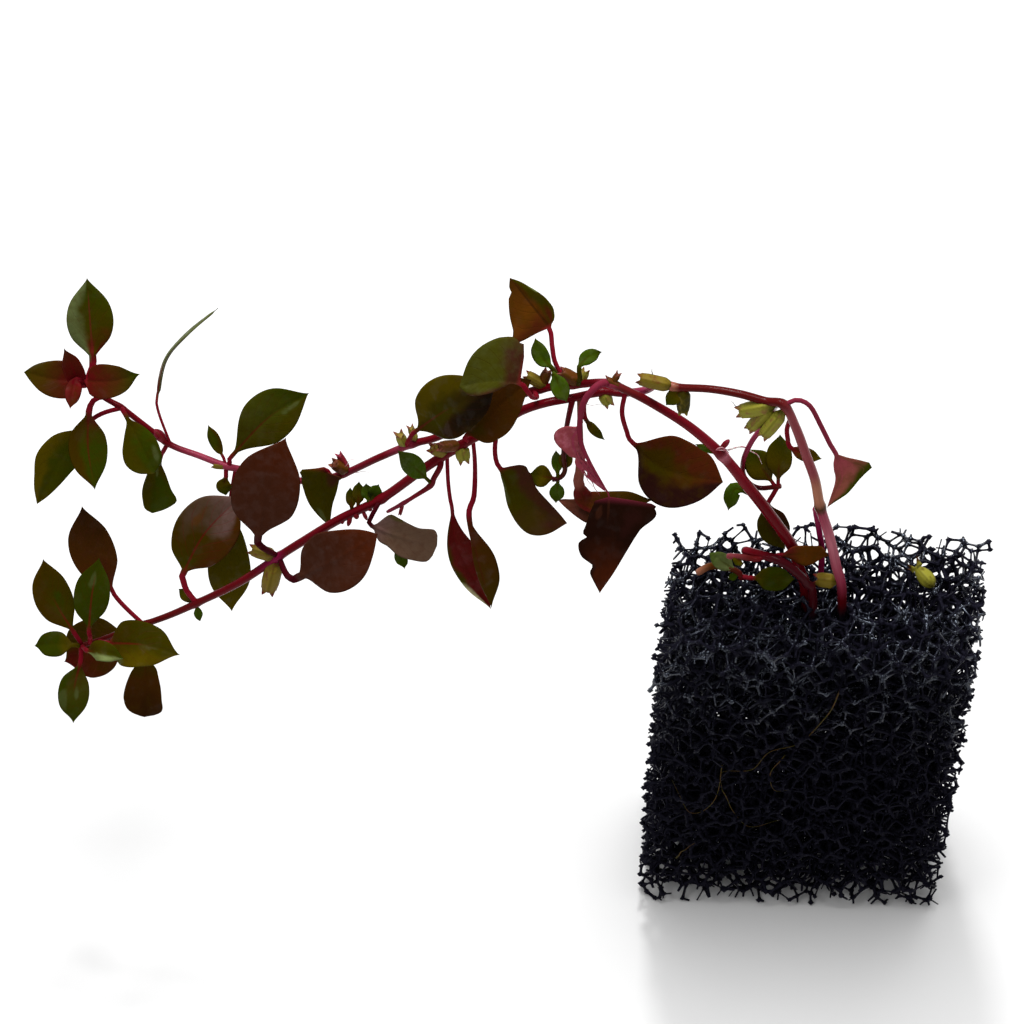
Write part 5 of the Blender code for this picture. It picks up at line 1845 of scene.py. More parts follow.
         left=(0.9, 1.0, 1.0, 0.9, 0.5, 0.0), right=(2.2, 3.2, 1.7, 1.2, 0.6, 0.0),
         stations=(0.1, 0.18, 0.32, 0.6, 0.85, 1.0), foot=0.05,
         bites=(Bite(1, 0.45, 0.5, 0.03), Bite(1, 0.66, 0.6, 0.04),
                Bite(-1, 0.55, 0.5, 0.03)), name="torn_strip"),
    Leaf("upper_leaf_big_dark",
         ((626, 390, 8.1), (622, 412, 7.4), (627, 432, 7.0)),
         ((633, 443, 6.8), (668, 471, 5.6), (723, 482, 5.6)), 12.6,
         LeafFinish(T.BROWN_OLIVE, T.BROWN_OLIVE, T.RED_BROWN, T.DARK_BROWN, 0.3,
                    left=T.RED_BROWN, right=T.DARK_PURPLE,
                    patches=(Patch(0.35, -0.1, 0.5, T.BROWN_OLIVE),
                             Patch(0.4, 0.1, 0.3, T.OLIVE, 0.7),
                             Patch(0.8, -0.3, 0.3, T.RED_BROWN)), slot="dark_leaf"),
         left=(4.2, 5.7, 5.9, 5.2, 3.4, 0.0), right=(1.2, 4.4, 5.9, 4.8, 2.5, 0.0)),
    Leaf("upper_leaf_small_behind",
         ((755, 496, 3.2), (746, 492, 4.4)),
         ((744, 491, 4.6), (734, 490, 4.4), (728, 511, 2.6)), 2.7, FRESH, 0.45, 0.6),
    Leaf("lower_leaf_right_folded",
         ((784, 405, 2.0), (797, 400, 2.5), (810, 406, 2.4), (821, 426, 1.6),
          (831, 446, 0.6)),
         ((836, 454, 0.0), (842, 478, -1.8), (827, 508, -4.2)), 5.4,
         LeafFinish(T.DUSTY_PINK, T.RED_TAN, T.RED_TAN, T.DUSTY_PINK, 0.7, T.FUCHSIA,
                    left=T.GREEN, right=T.DUSTY_PINK, back=T.GREEN, edge=0.35, rough=0.55,
                    veined=0.3, patches=(Patch(0.12, -0.8, 0.35, T.RED_TAN),),
                    slot="purple_leaf_underside"),
         left=(1.7, 3.4, 5.1, 3.3, 1.6, 0.0), right=(1.0, 1.2, 1.3, 1.2, 0.7, 0.0),
         stations=(0.12, 0.2, 0.27, 0.38, 0.65, 1.0), fold=14.0, foot=0.06),
    Leaf("lower_leaf_small_brown",
         ((791, 417, 1.7), (787, 429, 4.4), (788, 440, 4.8)),
         ((790, 447, 4.7), (804, 454, 4.2), (822, 459, 3.8)), 2.4,
         LeafFinish(T.BROWN_CRIMSON, T.BROWN, T.OLIVE, slot="brown_leaf"), 0.5, 0.6),
    Leaf("lower_leaf_folded_brown",
         ((579, 397, 10.2), (580, 425, 7.8), (580, 448, 6.4), (580, 470, 5.4)),
         ((579, 484, 4.8), (592, 502, 4.2), (654, 500, 3.2)), 3.9,
         LeafFinish(T.BROWN_CRIMSON, T.BROWN, T.BROWN_OLIVE, T.RED_BROWN, 0.9,
                    T.RED_TAN, right=T.BROWN_CRIMSON, edge=0.5, slot="brown_leaf"),
         0.5, 0.35, stalk_radius=0.35, stalk_end=2.6, foot=0.08),
    Leaf("lower_leaf_folded_brown",
         ((606, 501, 3.8), (603, 502, 3.9)),
         ((600, 502, 4.0), (580, 503, 4.6), (558, 500, 5.2)), 4.0,
         LeafFinish(T.RED_BROWN, T.PURPLE_BROWN, T.RED_TAN, T.RED_BROWN,
                    slot="brown_leaf"),
         left=(3.0, 3.4, 2.6, 1.6, 0.7, 0.0), right=(1.0, 1.0, 0.8, 0.5, 0.3, 0.0),
         stations=(0.1, 0.3, 0.5, 0.7, 0.88, 1.0), foot=0.06, name="folded_brown_corner"),
    Leaf("lower_leaf_narrow",
         ((584, 396, 10.4), (584, 412, 9.6)),
         ((585, 418, 9.3), (594, 430, 8.7), (605, 440, 8.2)), 1.6, YOUNG, 0.5),
    Leaf("lower_leaf_drooping",
         ((498, 425, 8.0), (495, 446, 6.8), (496, 460, 6.2)),
         ((500, 468, 5.6), (524, 502, 3.4), (567, 523, 2.6)), 8.6,
         LeafFinish(T.OLIVE, T.OLIVE, T.PURPLE_BROWN, T.BROWN_OLIVE, 0.3,
                    # The grey-green blotch near the base is painted sheen.
                    left=T.PURPLE_BROWN, patches=(Patch(0.95, 0.4, 0.4, T.PURPLE_BROWN),
                                                  Patch(0.2, 0.8, 0.3, T.GREY_GREEN, 0.5))),
         left=(2.6, 3.9, 3.4, 2.2, 1.0, 0.0), right=(0.4, 1.1, 2.6, 4.2, 2.5, 0.0),
         stations=(0.05, 0.2, 0.4, 0.7, 0.88, 1.0), foot=0.06),
    Leaf("lower_leaf_behind",
         ((468, 441, 6.9), (466, 439, 5.6)),
         ((467, 435, 5.4), (494, 410, 6.0), (531, 380, 8.5)), 8.0,
         LeafFinish(T.BROWN_OLIVE, T.BROWN, T.BROWN, T.BROWN, 0.2, right=T.BROWN,
                    slot="brown_leaf"),
         left=(2.0, 3.0, 3.0, 2.5, 2.2, 0.0), right=(2.9, 4.1, 4.2, 3.0, 1.2, 0.0),
         foot=0.1),
    Leaf("lower_leaf_hanging_left",
         ((447, 454, 6.3), (448, 480, 5.2), (450, 498, 4.8)),
         ((452, 508, 4.6), (458, 548, 2.6), (491, 609, 0.4)), 5.6,
         LeafFinish(T.DEEP_RED, T.BROWN_CRIMSON, T.DEEP_RED, T.CRIMSON, 0.2,
                    right=T.OLIVE, edge=0.45, mottle=T.RED_BROWN,
                    patches=(Patch(0.7, 1.0, 0.22, T.PALE_GREEN, 0.6),
                             Patch(0.86, 0.9, 0.42, T.CREAM)),
                    slot="purple_leaf_underside"), 0.52, 0.7, share=0.42, foot=0.5,
         stalk_radius=0.32),
    Leaf("lower_leaf_hanging_right",
         ((473, 439, 7.1), (475, 466, 6.5), (474, 496, 4.4)),
         ((469, 516, 2.2), (478, 560, -0.6), (492, 608, -2.6)), 3.9,
         LeafFinish(T.RED_BROWN, T.BROWN, T.BROWN_OLIVE, T.RED_BROWN, 0.8,
                    slot="brown_leaf"), 0.55, 0.7, share=0.22, fold=-6.0, foot=0.5,
         stalk_radius=0.32, stalk_end=1.5),
    Leaf("lower_leaf_grey_brown",
         ((381, 499, 4.0), (376, 508, 2.6), (370, 520, 1.4)),
         ((372, 526, 1.0), (404, 538, 0.0), (437, 546, -1.2)), 6.2,
         LeafFinish(T.PURPLE_GREY, T.GREY_BROWN, T.GREY_BROWN, T.PURPLE_BROWN, 0.15,
                    T.DARK_CRIMSON, back=T.GREEN, mottle=T.PURPLE_BROWN, veined=0.15,
                    rough=0.5, patches=(Patch(0.3, -1.0, 0.3, T.MOSS, 0.7),
                                        Patch(0.3, 1.0, 0.22, T.GREEN),),
                    slot="purple_leaf_underside"),
         left=(3.1, 3.0, 2.6, 2.3, 2.6, 2.6), right=(2.0, 2.2, 3.2, 3.3, 3.1, 2.5),
         underside=True),
    Leaf("lower_leaf_grey_brown",
         ((392, 544, 0.0), (394, 547, -0.2)),
         ((396, 550, -0.3), (401, 558, -0.8), (405, 569, -1.4)), 2.2, FRESH, 0.4, 0.6,
         name="grey_brown_sliver"),
    Leaf("lower_leaf_underside",
         ((279, 557, 2.5), (286, 574, -0.4), (293, 579, -1.8)),
         ((299, 577, -2.6), (338, 558, -4.0), (378, 534, -3.4)), 11.2, SEEN_BELOW,
         left=(3.6, 4.8, 5.3, 4.1, 2.1, 0.0), right=(2.1, 4.6, 5.6, 4.8, 2.3, 0.0),
         stalk_radius=0.45, stalk_end=1.6, underside=True),
    Leaf("lower_leaf_purple",
         ((278, 556, 2.5), (265, 549, 2.2), (259, 544, 2.0)),
         ((258, 538, 2.2), (267, 486, 5.2), (286, 438, 8.2)), 11.6, SEEN_BELOW, 0.48, 0.6,
         stalk_radius=0.45, stalk_end=1.5, underside=True),
    Leaf("lower_leaf_red_midrib",
         ((197, 603, 1.0), (187, 591, 2.2), (183, 579, 3.2)),
         ((184, 572, 3.8), (205, 533, 6.6), (241, 496, 9.6)), 10.8,
         # Its purple-grey tip and the purple-grey blotch towards it are painted sheen.
         LeafFinish(T.OLIVE, T.BROWN_OLIVE, T.PURPLE_GREY, T.CRIMSON, 0.85,
                    right=T.BROWN,
                    patches=(Patch(0.8, 0.3, 0.5, T.PURPLE_GREY),
                             Patch(0.55, -0.5, 0.2, T.ORANGE_BROWN, 0.6)),
                    veined=0.25, rough=0.3, slot="brown_leaf"), 0.52, 0.55, foot=0.2,
         stalk_radius=0.45, stalk_end=1.3),
    Leaf("orange_leaf",
         ((772, 558, -0.9), (778, 555, -0.2)),
         ((782, 555, -0.1), (804, 554, 0.0), (829, 556, 1.4)), 4.3,
         LeafFinish(T.BROWN_CRIMSON, T.ORANGE_BROWN, T.ORANGE_BROWN, T.BROWN, 0.3,
                    mottle=T.OLIVE, slot="brown_leaf"), 0.5, 0.5, turn=-37.0),
    Leaf("lying_green_leaf",
         ((740, 576, 1.2), (750, 578, 0.9)),
         ((754, 578, 0.7), (775, 579, -0.1), (795, 579, -0.4)), 4.2,
         LeafFinish(T.OLIVE, T.GREEN, T.GREEN, T.CRIMSON, 0.1, slot="green_leaf"), 0.5, 0.5),
    Leaf("leaf_behind_upper_stem",
         ((778, 486, 5.8), (771, 498, 5.4)),
         ((768, 503, 5.0), (773, 526, 4.8), (785, 549, 4.2)), 5.4,
         LeafFinish(T.BROWN, T.PURPLE_BROWN, T.OLIVE, T.BROWN, 0.3, right=T.OLIVE,
                    slot="brown_leaf"), 0.5, 0.6),
    Leaf("lower_tip_leaf_up",
         ((143, 624, 0.0), (126, 608, 1.8), (116, 597, 3.0)),
         ((112, 590, 3.6), (91, 547, 7.6), (82, 506, 11.6)), 7.8,
         LeafFinish(T.RED_BROWN, T.BROWN, T.DARK_BROWN, T.BROWN_CRIMSON, 0.2,
                    mottle=T.PURPLE_BROWN, slot="brown_leaf"), 0.5, 0.65),
    Leaf("lower_tip_leaf_left_up",
         ((82, 645, -1.4), (77, 637, -0.8)),
         ((73, 631, -0.3), (53, 597, 3.2), (43, 559, 7.0)), 6.7,
         LeafFinish(T.OLIVE, T.OLIVE, T.BROWN_OLIVE, T.CRIMSON, 0.4, left=T.BROWN_OLIVE,
                    patches=(Patch(0.45, 0.3, 0.3, T.GREEN),)), 0.5, 0.65),
    Leaf("lower_tip_leaf_middle",
         ((90, 643, -1.2), (90, 636, -3.0)),
         ((89, 629, -2.8), (92, 594, 0.2), (99, 558, 3.8)), 6.3,
         LeafFinish(T.GREEN, T.GREEN, T.GREEN, T.CRIMSON, 0.7, mottle=T.OLIVE,
                    # The grey-green blotch near the tip is painted sheen.
                    patches=(Patch(0.7, -0.1, 0.25, T.GREY_GREEN, 0.5),),
                    slot="green_leaf"), 0.5, 0.65),
    Leaf("lower_tip_leaf_small_left",
         ((80, 646, -1.5), (76, 645, -2.0)),
         ((73, 645, -2.2), (54, 644, -2.6), (34, 646, -2.4)), 4.6,
         LeafFinish(T.YELLOW_OLIVE, T.GREEN, T.GREEN, T.YELLOW_OLIVE, 0.0, T.YELLOW_OLIVE,
                    slot="green_leaf"), 0.45, 0.65),
    Leaf("lower_tip_leaf_down",
         ((81, 646, -1.5), (81, 658, -3.6)),
         ((80, 664, -4.4), (74, 690, -7.2), (73, 723, -10.4)), 5.6,
         LeafFinish(T.BROWN_OLIVE, T.MOSS, T.GREEN, T.CRIMSON, 0.35, right=T.GREEN,
                    # The two grey-green blotches are painted sheen.
                    patches=(Patch(0.5, -0.2, 0.2, T.GREY_GREEN, 0.6),
                             Patch(0.6, 0.7, 0.3, T.GREY_GREEN, 0.4)), slot="green_leaf"),
         0.48, 0.65),
    Leaf("lower_tip_leaf_right",
         ((98, 641, -1.0), (104, 642, -2.4)),
         ((110, 643, -3.4), (145, 645, -5.0), (180, 655, -5.6)), 8.4,
         LeafFinish(T.BROWN_OLIVE, T.OLIVE, T.OLIVE, T.CRIMSON, 0.55,
                    right=T.YELLOW_OLIVE,
                    # The grey-green blotch at the base is painted sheen.
                    patches=(Patch(0.15, 0.8, 0.3, T.GREY_GREEN, 0.6),)), 0.36, 0.55,
         foot=0.2),
    Leaf("lower_tip_leaf_pale",
         ((82, 646, -1.4), (86, 650, -4.8)),
         ((89, 651, -5.6), (102, 651, -6.8), (124, 659, -7.8)), 3.7,
         LeafFinish(T.BROWN_OLIVE, T.OLIVE, T.GREEN, reach=0.1, right=T.PALE_GREEN,
                    slot="pale_green_leaf"), 0.4, 0.55),
    Leaf("lower_tip_leaf_round_behind",
         ((132, 629, -0.4), (131, 634, 1.6)),
         ((128, 637, 2.0), (98, 646, 1.2), (64, 662, 0.2)), 10.6,
         LeafFinish(T.PURPLE_BROWN, T.BROWN, T.DEEP_RED, T.DUSTY_PINK, 0.3,
                    right=T.BROWN_OLIVE, veined=0.08, slot="brown_leaf"), 0.5, 0.5),
    Leaf("lower_tip_leaf_low_right",
         ((132, 629, -0.4), (137, 640, -1.0), (142, 650, -1.8)),
         ((145, 656, -2.2), (145, 686, -5.2), (145, 717, -8.2)), 6.9,
         LeafFinish(T.OLIVE, T.BROWN, T.DARK_BROWN, T.RED_BROWN, 0.3, slot="brown_leaf"),
         left=(1.9, 2.3, 2.8, 3.0, 3.1, 2.4), right=(1.8, 2.8, 3.6, 3.8, 2.9, 1.0)),
)

LEAFLETS = (
    Leaflet("upper_stem", (722, 455, 4.5), (695, 444, 5.8), 0.6, FRESH),
    Leaflet("lower_stem", (684, 387, 5.8), (666, 405, 4.6), 1.3, YOUNG),
    Leaflet("lower_stem", (352, 512, 3.7), (350, 487, 5.4), 0.9, YOUNG),
    Leaflet("lower_stem", (358, 509, 3.8), (359, 481, 6.0), 1.1, YOUNG),
    Leaflet("lower_stem", (369, 504, 3.9), (366, 483, 5.6), 1.1, FRESH),
    Leaflet("lower_stem", (370, 503, 3.9), (379, 484, 5.2), 1.2, CURLED),
    Leaflet("lower_stem", (196, 604, 1.0), (179, 589, 4.2), 1.1, YOUNG),
    Leaflet("lower_stem", (196, 604, 1.0), (200, 621, 0.2), 0.8, FRESH),
    Leaflet("pink_stub", (741, 557, 0.2), (735, 565, -0.8), 1.0, YOUNG),
    Leaflet("low_shoot", (738, 572, 1.4), (709, 553, 2.6), 1.5, PALE_YOUNG),
    Leaflet("low_shoot", (739, 574, 1.3), (728, 579, 0.6), 0.7, FRESH),
    Leaflet("middle_shoot", (558, 478, 5.5), (556, 450, 8.2), 0.95, FRESH),
    Leaflet("middle_shoot", (557, 479, 5.5), (530, 474, 7.6), 1.9, YOUNG),
    Leaflet("middle_shoot", (558, 479, 5.5), (556, 503, 3.4), 1.3, FRESH),
    Leaflet("middle_shoot", (564, 473, 5.9), (567, 449, 8.0), 1.2, YOUNG),
    Leaflet("left_shoot", (431, 483, 4.3), (398, 451, 1.0), 1.8, FRESH),
    Leaflet("inner_shoot", (775, 486, 5.9), (748, 449, 8.2), 2.5, YOUNG),
    Leaflet("inner_shoot", (778, 487, 5.7), (780, 434, 9.0), 2.2, YOUNG),
)

GREEN_CAPSULE = CapsuleFinish(T.BROWN_OLIVE, T.OCHRE, T.BROWN_CRIMSON)
RIPE_CAPSULE = CapsuleFinish(T.OLIVE, T.YELLOW_GREEN, T.RED_TAN)
DARK_CAPSULE = CapsuleFinish(T.BROWN_OLIVE, T.OLIVE, T.OCHRE)
TAN_FLOWER = CapsuleFinish(T.BROWN, T.ORANGE_BROWN, T.RED_TAN)
PINK_KNOB = CapsuleFinish(T.CRIMSON, T.BRIGHT_CRIMSON, T.ROSE)
FALLEN = CapsuleFinish(T.OLIVE, T.YELLOW_GREEN, T.BROWN, "yellow_green_capsule")

GROWTHS = (
    (GREEN_CAPSULE, (
        Growth("upper_stem", (548, 388, 10.9), (525, 374, 12.4), 0.9),
        Growth("upper_stem", (228, 466, 14.0), (212, 465, 14.0), 0.6),
        Growth("lower_stem", (676, 387, 6.0), (636, 378, 6.9), 1.05),
        Growth("lower_stem", (448, 453, 6.3), (431, 448, 5.6), 1.0),
        Growth("lower_stem", (838, 582, -0.9), (815, 579, -0.4), 1.15),
        Growth("lower_stem", (278, 557, 2.5), (250, 549, 3.6), 1.1),
        Growth("lower_stem", (276, 559, 2.4), (268, 592, 0.0), 1.4),
    )),
    (RIPE_CAPSULE, (
        Growth("upper_stem", (578, 384, 10.0), (586, 370, 11.8), 0.8),
        Growth("upper_stem", (405, 447, 12.4), (398, 431, 12.8), 0.8, Kind.DRY_FLOWER),
        Growth("upper_stem", (416, 442, 12.4), (409, 423, 13.6), 0.6, Kind.DRY_FLOWER),
        Growth("lower_stem", (602, 392, 10.7), (609, 404, 9.9), 0.95),
        Growth("lower_stem", (776, 405, 2.5), (737, 412, 3.0), 1.2),
        Growth("lower_stem", (774, 405, 2.5), (748, 430, 2.2), 1.0),
        Growth("lower_stem", (785, 409, 2.0), (762, 437, 0.7), 1.1),
        Growth("lower_stem", (461, 445, 6.7), (464, 461, 5.2), 1.1),
    )),
    (DARK_CAPSULE, (
        Growth("lower_stem", (684, 387, 5.8), (683, 413, 4.4), 1.0),
    )),
    (TAN_FLOWER, (
        Growth("upper_stem", (624, 389, 8.2), (600, 376, 9.4), 0.6, Kind.DRY_FLOWER),
        Growth("upper_stem", (612, 384, 8.8), (620, 371, 9.6), 0.5, Kind.DRY_FLOWER),
        Growth("upper_stem", (582, 384, 9.9), (560, 371, 11.0), 1.0),
        Growth("upper_stem", (540, 389, 11.0), (548, 370, 12.6), 0.8),
        Growth("upper_stem", (349, 472, 13.0), (333, 463, 12.8), 1.0),
        Growth("lower_stem", (462, 445, 6.8), (438, 447, 5.0), 0.9),
    )),
    (PINK_KNOB, (
        Growth("upper_stem", (718, 452, 4.6), (729, 440, 4.8), 0.5, Kind.KNOB),
        Growth("upper_stem", (349, 472, 13.0), (336, 449, 14.5), 0.6, Kind.DRY_FLOWER),
        Growth("upper_stem", (170, 446, 16.6), (154, 430, 17.8), 0.9, Kind.KNOB),
        Growth("left_shoot", (403, 503, 3.5), (399, 518, 2.6), 0.3, Kind.DRY_FLOWER),
        Growth("lower_stem", (352, 512, 3.6), (348, 526, 2.4), 0.42, Kind.KNOB),
        Growth("lower_stem", (355, 510, 3.6), (357, 519, 2.8), 0.5, Kind.KNOB),
        Growth("lower_stem", (361, 507, 3.7), (367, 520, 2.6), 0.36, Kind.KNOB),
        Growth("lower_stem", (367, 504, 3.8), (371, 511, 3.2), 0.44, Kind.KNOB),
        Growth("lower_stem", (344, 516, 3.6), (342, 524, 2.8), 0.34, Kind.KNOB),
    )),
)
FALLEN_CAPSULE = Growth("fallen_capsule", (934, 587, 1.0), (911, 561, 5.4), 1.25, Kind.SHED)

STEMS = (
    Stem("upper_stem",
         ((806, 596, 0.5), (800, 572, 1.0), (793, 548, 1.5), (768, 512, 2.5),
          (745, 483, 3.5), (722, 455, 4.5), (690, 427, 5.5), (655, 405, 7.0),
          (628, 391, 8.0), (607, 383, 9.0), (580, 384, 10.0), (545, 388, 11.0),
          (515, 397, 11.5), (480, 414, 12.0), (440, 436, 12.5), (412, 444, 12.5),
          (378, 458, 12.5), (343, 474, 13.0), (315, 480, 13.0), (290, 480, 13.5),
          (262, 474, 14.0), (240, 469, 14.0), (226, 466, 14.0), (200, 456, 15.0),
          (171, 445, 16.5), (148, 428, 18.0), (122, 408, 20.0), (105, 398, 21.0),
          (88, 385, 22.0), (76, 380, 22.5)),
         (0.95, 0.95, 0.9, 0.65, 0.65, 0.6, 0.55, 0.45),
         StemFinish(((0.0, T.CRIMSON), (3.4, T.CRIMSON), (4.2, T.BRIGHT_CRIMSON),
                     (4.8, T.BRIGHT_CRIMSON), (4.93, T.PALE_ROSE), (5.07, T.CRIMSON),
                     (5.4, T.BRIGHT_CRIMSON), (7.0, T.CRIMSON), (8.4, T.BROWN_CRIMSON),
                     (8.8, T.ROSE), (9.4, T.CRIMSON), (14.8, T.CRIMSON), (15.2, T.ROSE),
                     (15.8, T.CRIMSON),
                     (23.0, T.ROSE), (24.0, T.CRIMSON), (27.0, T.CRIMSON))),
         buried=(2.0, -0.5), swells=(5.0, 8.8, 10.2, 11.2, 15.0, 17.0, 22.0, 24.2, 26.0)),
    Stem("lower_stem",
         ((842, 597, -1.0), (836, 565, -0.7), (829, 535, -0.3), (820, 506, 0.0),
          (815, 480, 0.5), (806, 455, 1.0), (796, 428, 1.5), (784, 405, 2.0),
          (765, 401, 3.0), (740, 394, 4.0), (710, 389, 5.0), (675, 387, 6.0),
          (660, 382, 7.2), (646, 390, 9.3), (622, 393, 10.6), (604, 391, 10.8),
          (590, 394, 10.5), (572, 398, 10.0), (545, 403, 9.0), (521, 411, 8.5),
          (500, 424, 8.0), (470, 440, 7.0), (440, 458, 6.0), (419, 472, 5.0),
          (381, 499, 4.0), (340, 519, 3.5), (300, 543, 3.0), (278, 557, 2.5),
          (240, 582, 1.5), (197, 603, 1.0), (170, 615, 0.5), (145, 624, 0.0),
          (125, 631, -0.5), (100, 640, -1.0), (80, 646, -1.5)),
         (0.84, 0.8, 0.82, 0.75, 0.6, 0.65, 0.78, 0.75, 0.7, 0.6, 0.45),
         StemFinish(((0.0, T.CRIMSON), (0.6, T.ROSE), (1.8, T.PALE_ROSE), (2.8, T.ROSE),
                     (2.95, T.BROWN), (3.05, T.BROWN), (3.2, T.TAN), (3.8, T.TAN),
                     (4.3, T.DUSTY_PINK), (6.6, T.DUSTY_PINK),
                     (7.2, T.DEEP_RED), (10.9, T.DEEP_RED), (11.2, T.TAN),
                     (11.5, T.ROSE), (13.0, T.PINK), (14.0, T.CRIMSON), (26.6, T.CRIMSON),
                     (27.0, T.MAGENTA), (27.6, T.CRIMSON), (31.0, T.DEEP_RED),
                     (33.0, T.DEEP_RED))),
         buried=(1.5, 0.5),
         swells=(3.0, 7.0, 11.2, 15.4, 21.4, 24.0, 27.0, 29.0, 31.0)),
    Stem("side_stem",
         ((820, 586, 1.6), (821, 570, 2.4), (822, 550, 3.0), (819, 530, 2.5),
          (816, 514, 1.9), (815, 508, 1.2)), (0.5, 0.5, 0.45),
         StemFinish(((0.0, T.ROSE), (1.0, T.MAGENTA), (3.0, T.MAGENTA), (5.0, T.PINK)))),
    Stem("cut_stem",
         ((813, 600, -2.4), (806, 583, -2.2), (795, 571, -1.9), (780, 561, -1.5),
          (762, 555, -0.2), (743, 550, 1.6)), (0.75, 0.75, 0.72),
         StemFinish(((0.0, T.DARK_CRIMSON), (3.2, T.DARK_CRIMSON), (4.3, T.CRIMSON),
                     (4.9, T.BRIGHT_CRIMSON), (4.97, T.DARK_CRIMSON))),
         buried=(1.5, -1.5)),
    Stem("pink_stub",
         ((764, 557, -0.6), (756, 559, -0.8), (742, 557, 0.2), (727, 556, 0.8)),
         (0.45, 0.5, 0.5),
         StemFinish(((0.0, T.CRIMSON), (1.4, T.BROWN_CRIMSON), (3.0, T.DUSTY_PINK)))),
    Stem("low_shoot",
         ((742, 579, 1.0), (738, 572, 1.4), (728, 568, 1.8), (711, 566, 2.6),
          (697, 573, 2.2)), (0.5, 0.5, 0.6, 0.6),
         StemFinish(((0.0, T.CRIMSON), (1.5, T.RED_BROWN), (3.0, T.ORANGE_BROWN),
                     (3.9, T.TAN)), "pale_green_leaf")),
    Stem("middle_shoot",
         ((573, 398, 10.0), (571, 406, 9.0), (567, 425, 8.0), (564, 445, 7.2),
          (564, 460, 6.5), (565, 470, 6.1), (561, 477, 5.7), (552, 480, 5.2)),
         (0.5, 0.4, 0.4, 0.4),
         StemFinish(((0.0, T.CRIMSON), (3.0, T.DARK_CRIMSON), (5.0, T.RED_BROWN),
                     (7.0, T.DARK_CRIMSON)), "green_leaf")),
    Stem("left_shoot",
         ((441, 458, 6.0), (440, 467, 5.0), (434, 478, 4.5), (430, 486, 4.2),
          (415, 496, 3.8), (402, 504, 3.5), (387, 512, 3.2)), (0.5, 0.45, 0.35, 0.3),
         StemFinish(((0.0, T.CRIMSON), (2.8, T.CRIMSON), (4.0, T.BRIGHT_CRIMSON),
                     (5.4, T.FUCHSIA), (6.0, T.ROSE))), swells=(3.0, 5.0)),
    Stem("inner_shoot",
         ((777, 404, 2.5), (773, 410, 5.4), (763, 426, 5.5), (752, 441, 5.6),
          (744, 458, 5.7), (743, 472, 6.2), (748, 482, 6.3), (760, 488, 6.2),
          (781, 486, 5.7)), (0.5, 0.45, 0.4, 0.4),
         StemFinish(((0.0, T.BROWN_CRIMSON), (2.0, T.PINK), (5.0, T.CRIMSON),
                     (7.0, T.DARK_CRIMSON), (8.0, T.BROWN_CRIMSON)), "olive_leaf"),
         swells=(8.0,)),
)

PALE_FIBRE = StrandFinish(T.WHITE_FIBRE, T.PALE_ROSE)
PINK_FIBRE = StrandFinish(T.DUSTY_PINK, T.ROSE)
ROOT_FIBRE = StrandFinish(T.ROOT_BROWN, T.OLIVE)

STRANDS = (
    ("node_fibres", PALE_FIBRE, "crimson_stem", "upper_stem", (
        Strand(((713, 452, 5.2), (716, 449, 4.2), (722, 448, 4.0), (728, 450, 4.4)), 0.2),
        Strand(((714, 454, 5.0), (718, 450, 4.0), (725, 450, 4.0), (729, 453, 4.6)), 0.16),
        Strand(((728, 450, 4.6), (738, 447, 5.2), (748, 449, 6.0), (757, 455, 6.6),
                (762, 464, 6.4)), 0.17),
        Strand(((344, 470, 12.8), (349, 461, 12.6), (361, 458, 13.0)), 0.07),
        Strand(((348, 472, 12.8), (360, 472, 12.2), (373, 472, 12.4)), 0.07),
        Strand(((578, 398, 10.0), (586, 404, 9.8), (614, 405, 10.2)), 0.06),
    )),
    ("torn_fibres", PINK_FIBRE, "crimson_stem", "upper_leaf_dark_torn", (
        Strand(((577, 452, 3.0), (584, 466, 2.0), (592, 476, 1.2), (607, 490, 0.4)), 0.16),
        Strand(((581, 460, 2.4), (590, 470, 1.6), (596, 477, 1.0), (606, 489, 0.2)), 0.13),
        Strand(((583, 470, 1.8), (592, 483, 1.0), (600, 496, 0.2)), 0.12),
        Strand(((579, 464, 2.2), (585, 476, 1.4), (593, 487, 0.8)), 0.1),
    )),
    ("capsule_threads", StrandFinish(T.DARK_BROWN, T.BROWN), "crimson_stem", "lower_stem", (
        Strand(((742, 411, 3.0), (736, 406, 3.4), (731, 401, 3.8)), 0.1),
        Strand(((752, 407, 3.2), (753, 403, 3.6), (751, 401, 3.8)), 0.12),
        Strand(((653, 381, 7.2), (652, 376, 7.4), (652, 369, 7.6)), 0.14),
    )),
    ("front_roots", ROOT_FIBRE, "foam", "foam_block", (
        Strand(((840, 690, -11.6), (828, 715, -12.0), (800, 742, -11.0), (770, 752, -11.8),
                (752, 770, -12.2), (722, 772, -11.2), (722, 790, -11.8)), 0.13),
        Strand(((722, 765, -11.6), (715, 800, -12.2), (690, 812, -11.2),
                (672, 780, -11.6)), 0.1),
        Strand(((722, 790, -11.8), (745, 825, -11.0), (780, 820, -11.6)), 0.1),
        Strand(((785, 755, -11.0), (770, 775, -11.6), (775, 790, -11.4),
                (790, 790, -10.8)), 0.1),
        Strand(((676, 858, -12.2), (684, 850, -12.6), (695, 843, -12.0)), 0.14),
    )),
)


@dataclass(frozen=True)
class Lamp:
    """A square lamp: its place and what it points at in metres, its side and its watts."""

    place: Place
    target: Place
    size: float
    power: float

    def make(self, name: str) -> None:
        """Hang the lamp and point it at its target.

        Args:
            name: the lamp's name.
        """
        light = bpy.data.lights.new(name, "AREA")
        light.size, light.energy = self.size, self.power
        lamp = bpy.data.objects.new(name, light)
        lamp.location = self.place
        bpy.context.scene.collection.objects.link(lamp)
        across, back, up = np.array(self.target) - np.array(self.place)
        turn = math.atan2(back, across) - math.pi / 2
        tip = math.pi / 2 + math.atan2(up, math.hypot(across, back))
        lamp.rotation_euler = (tip, 0.0, turn)


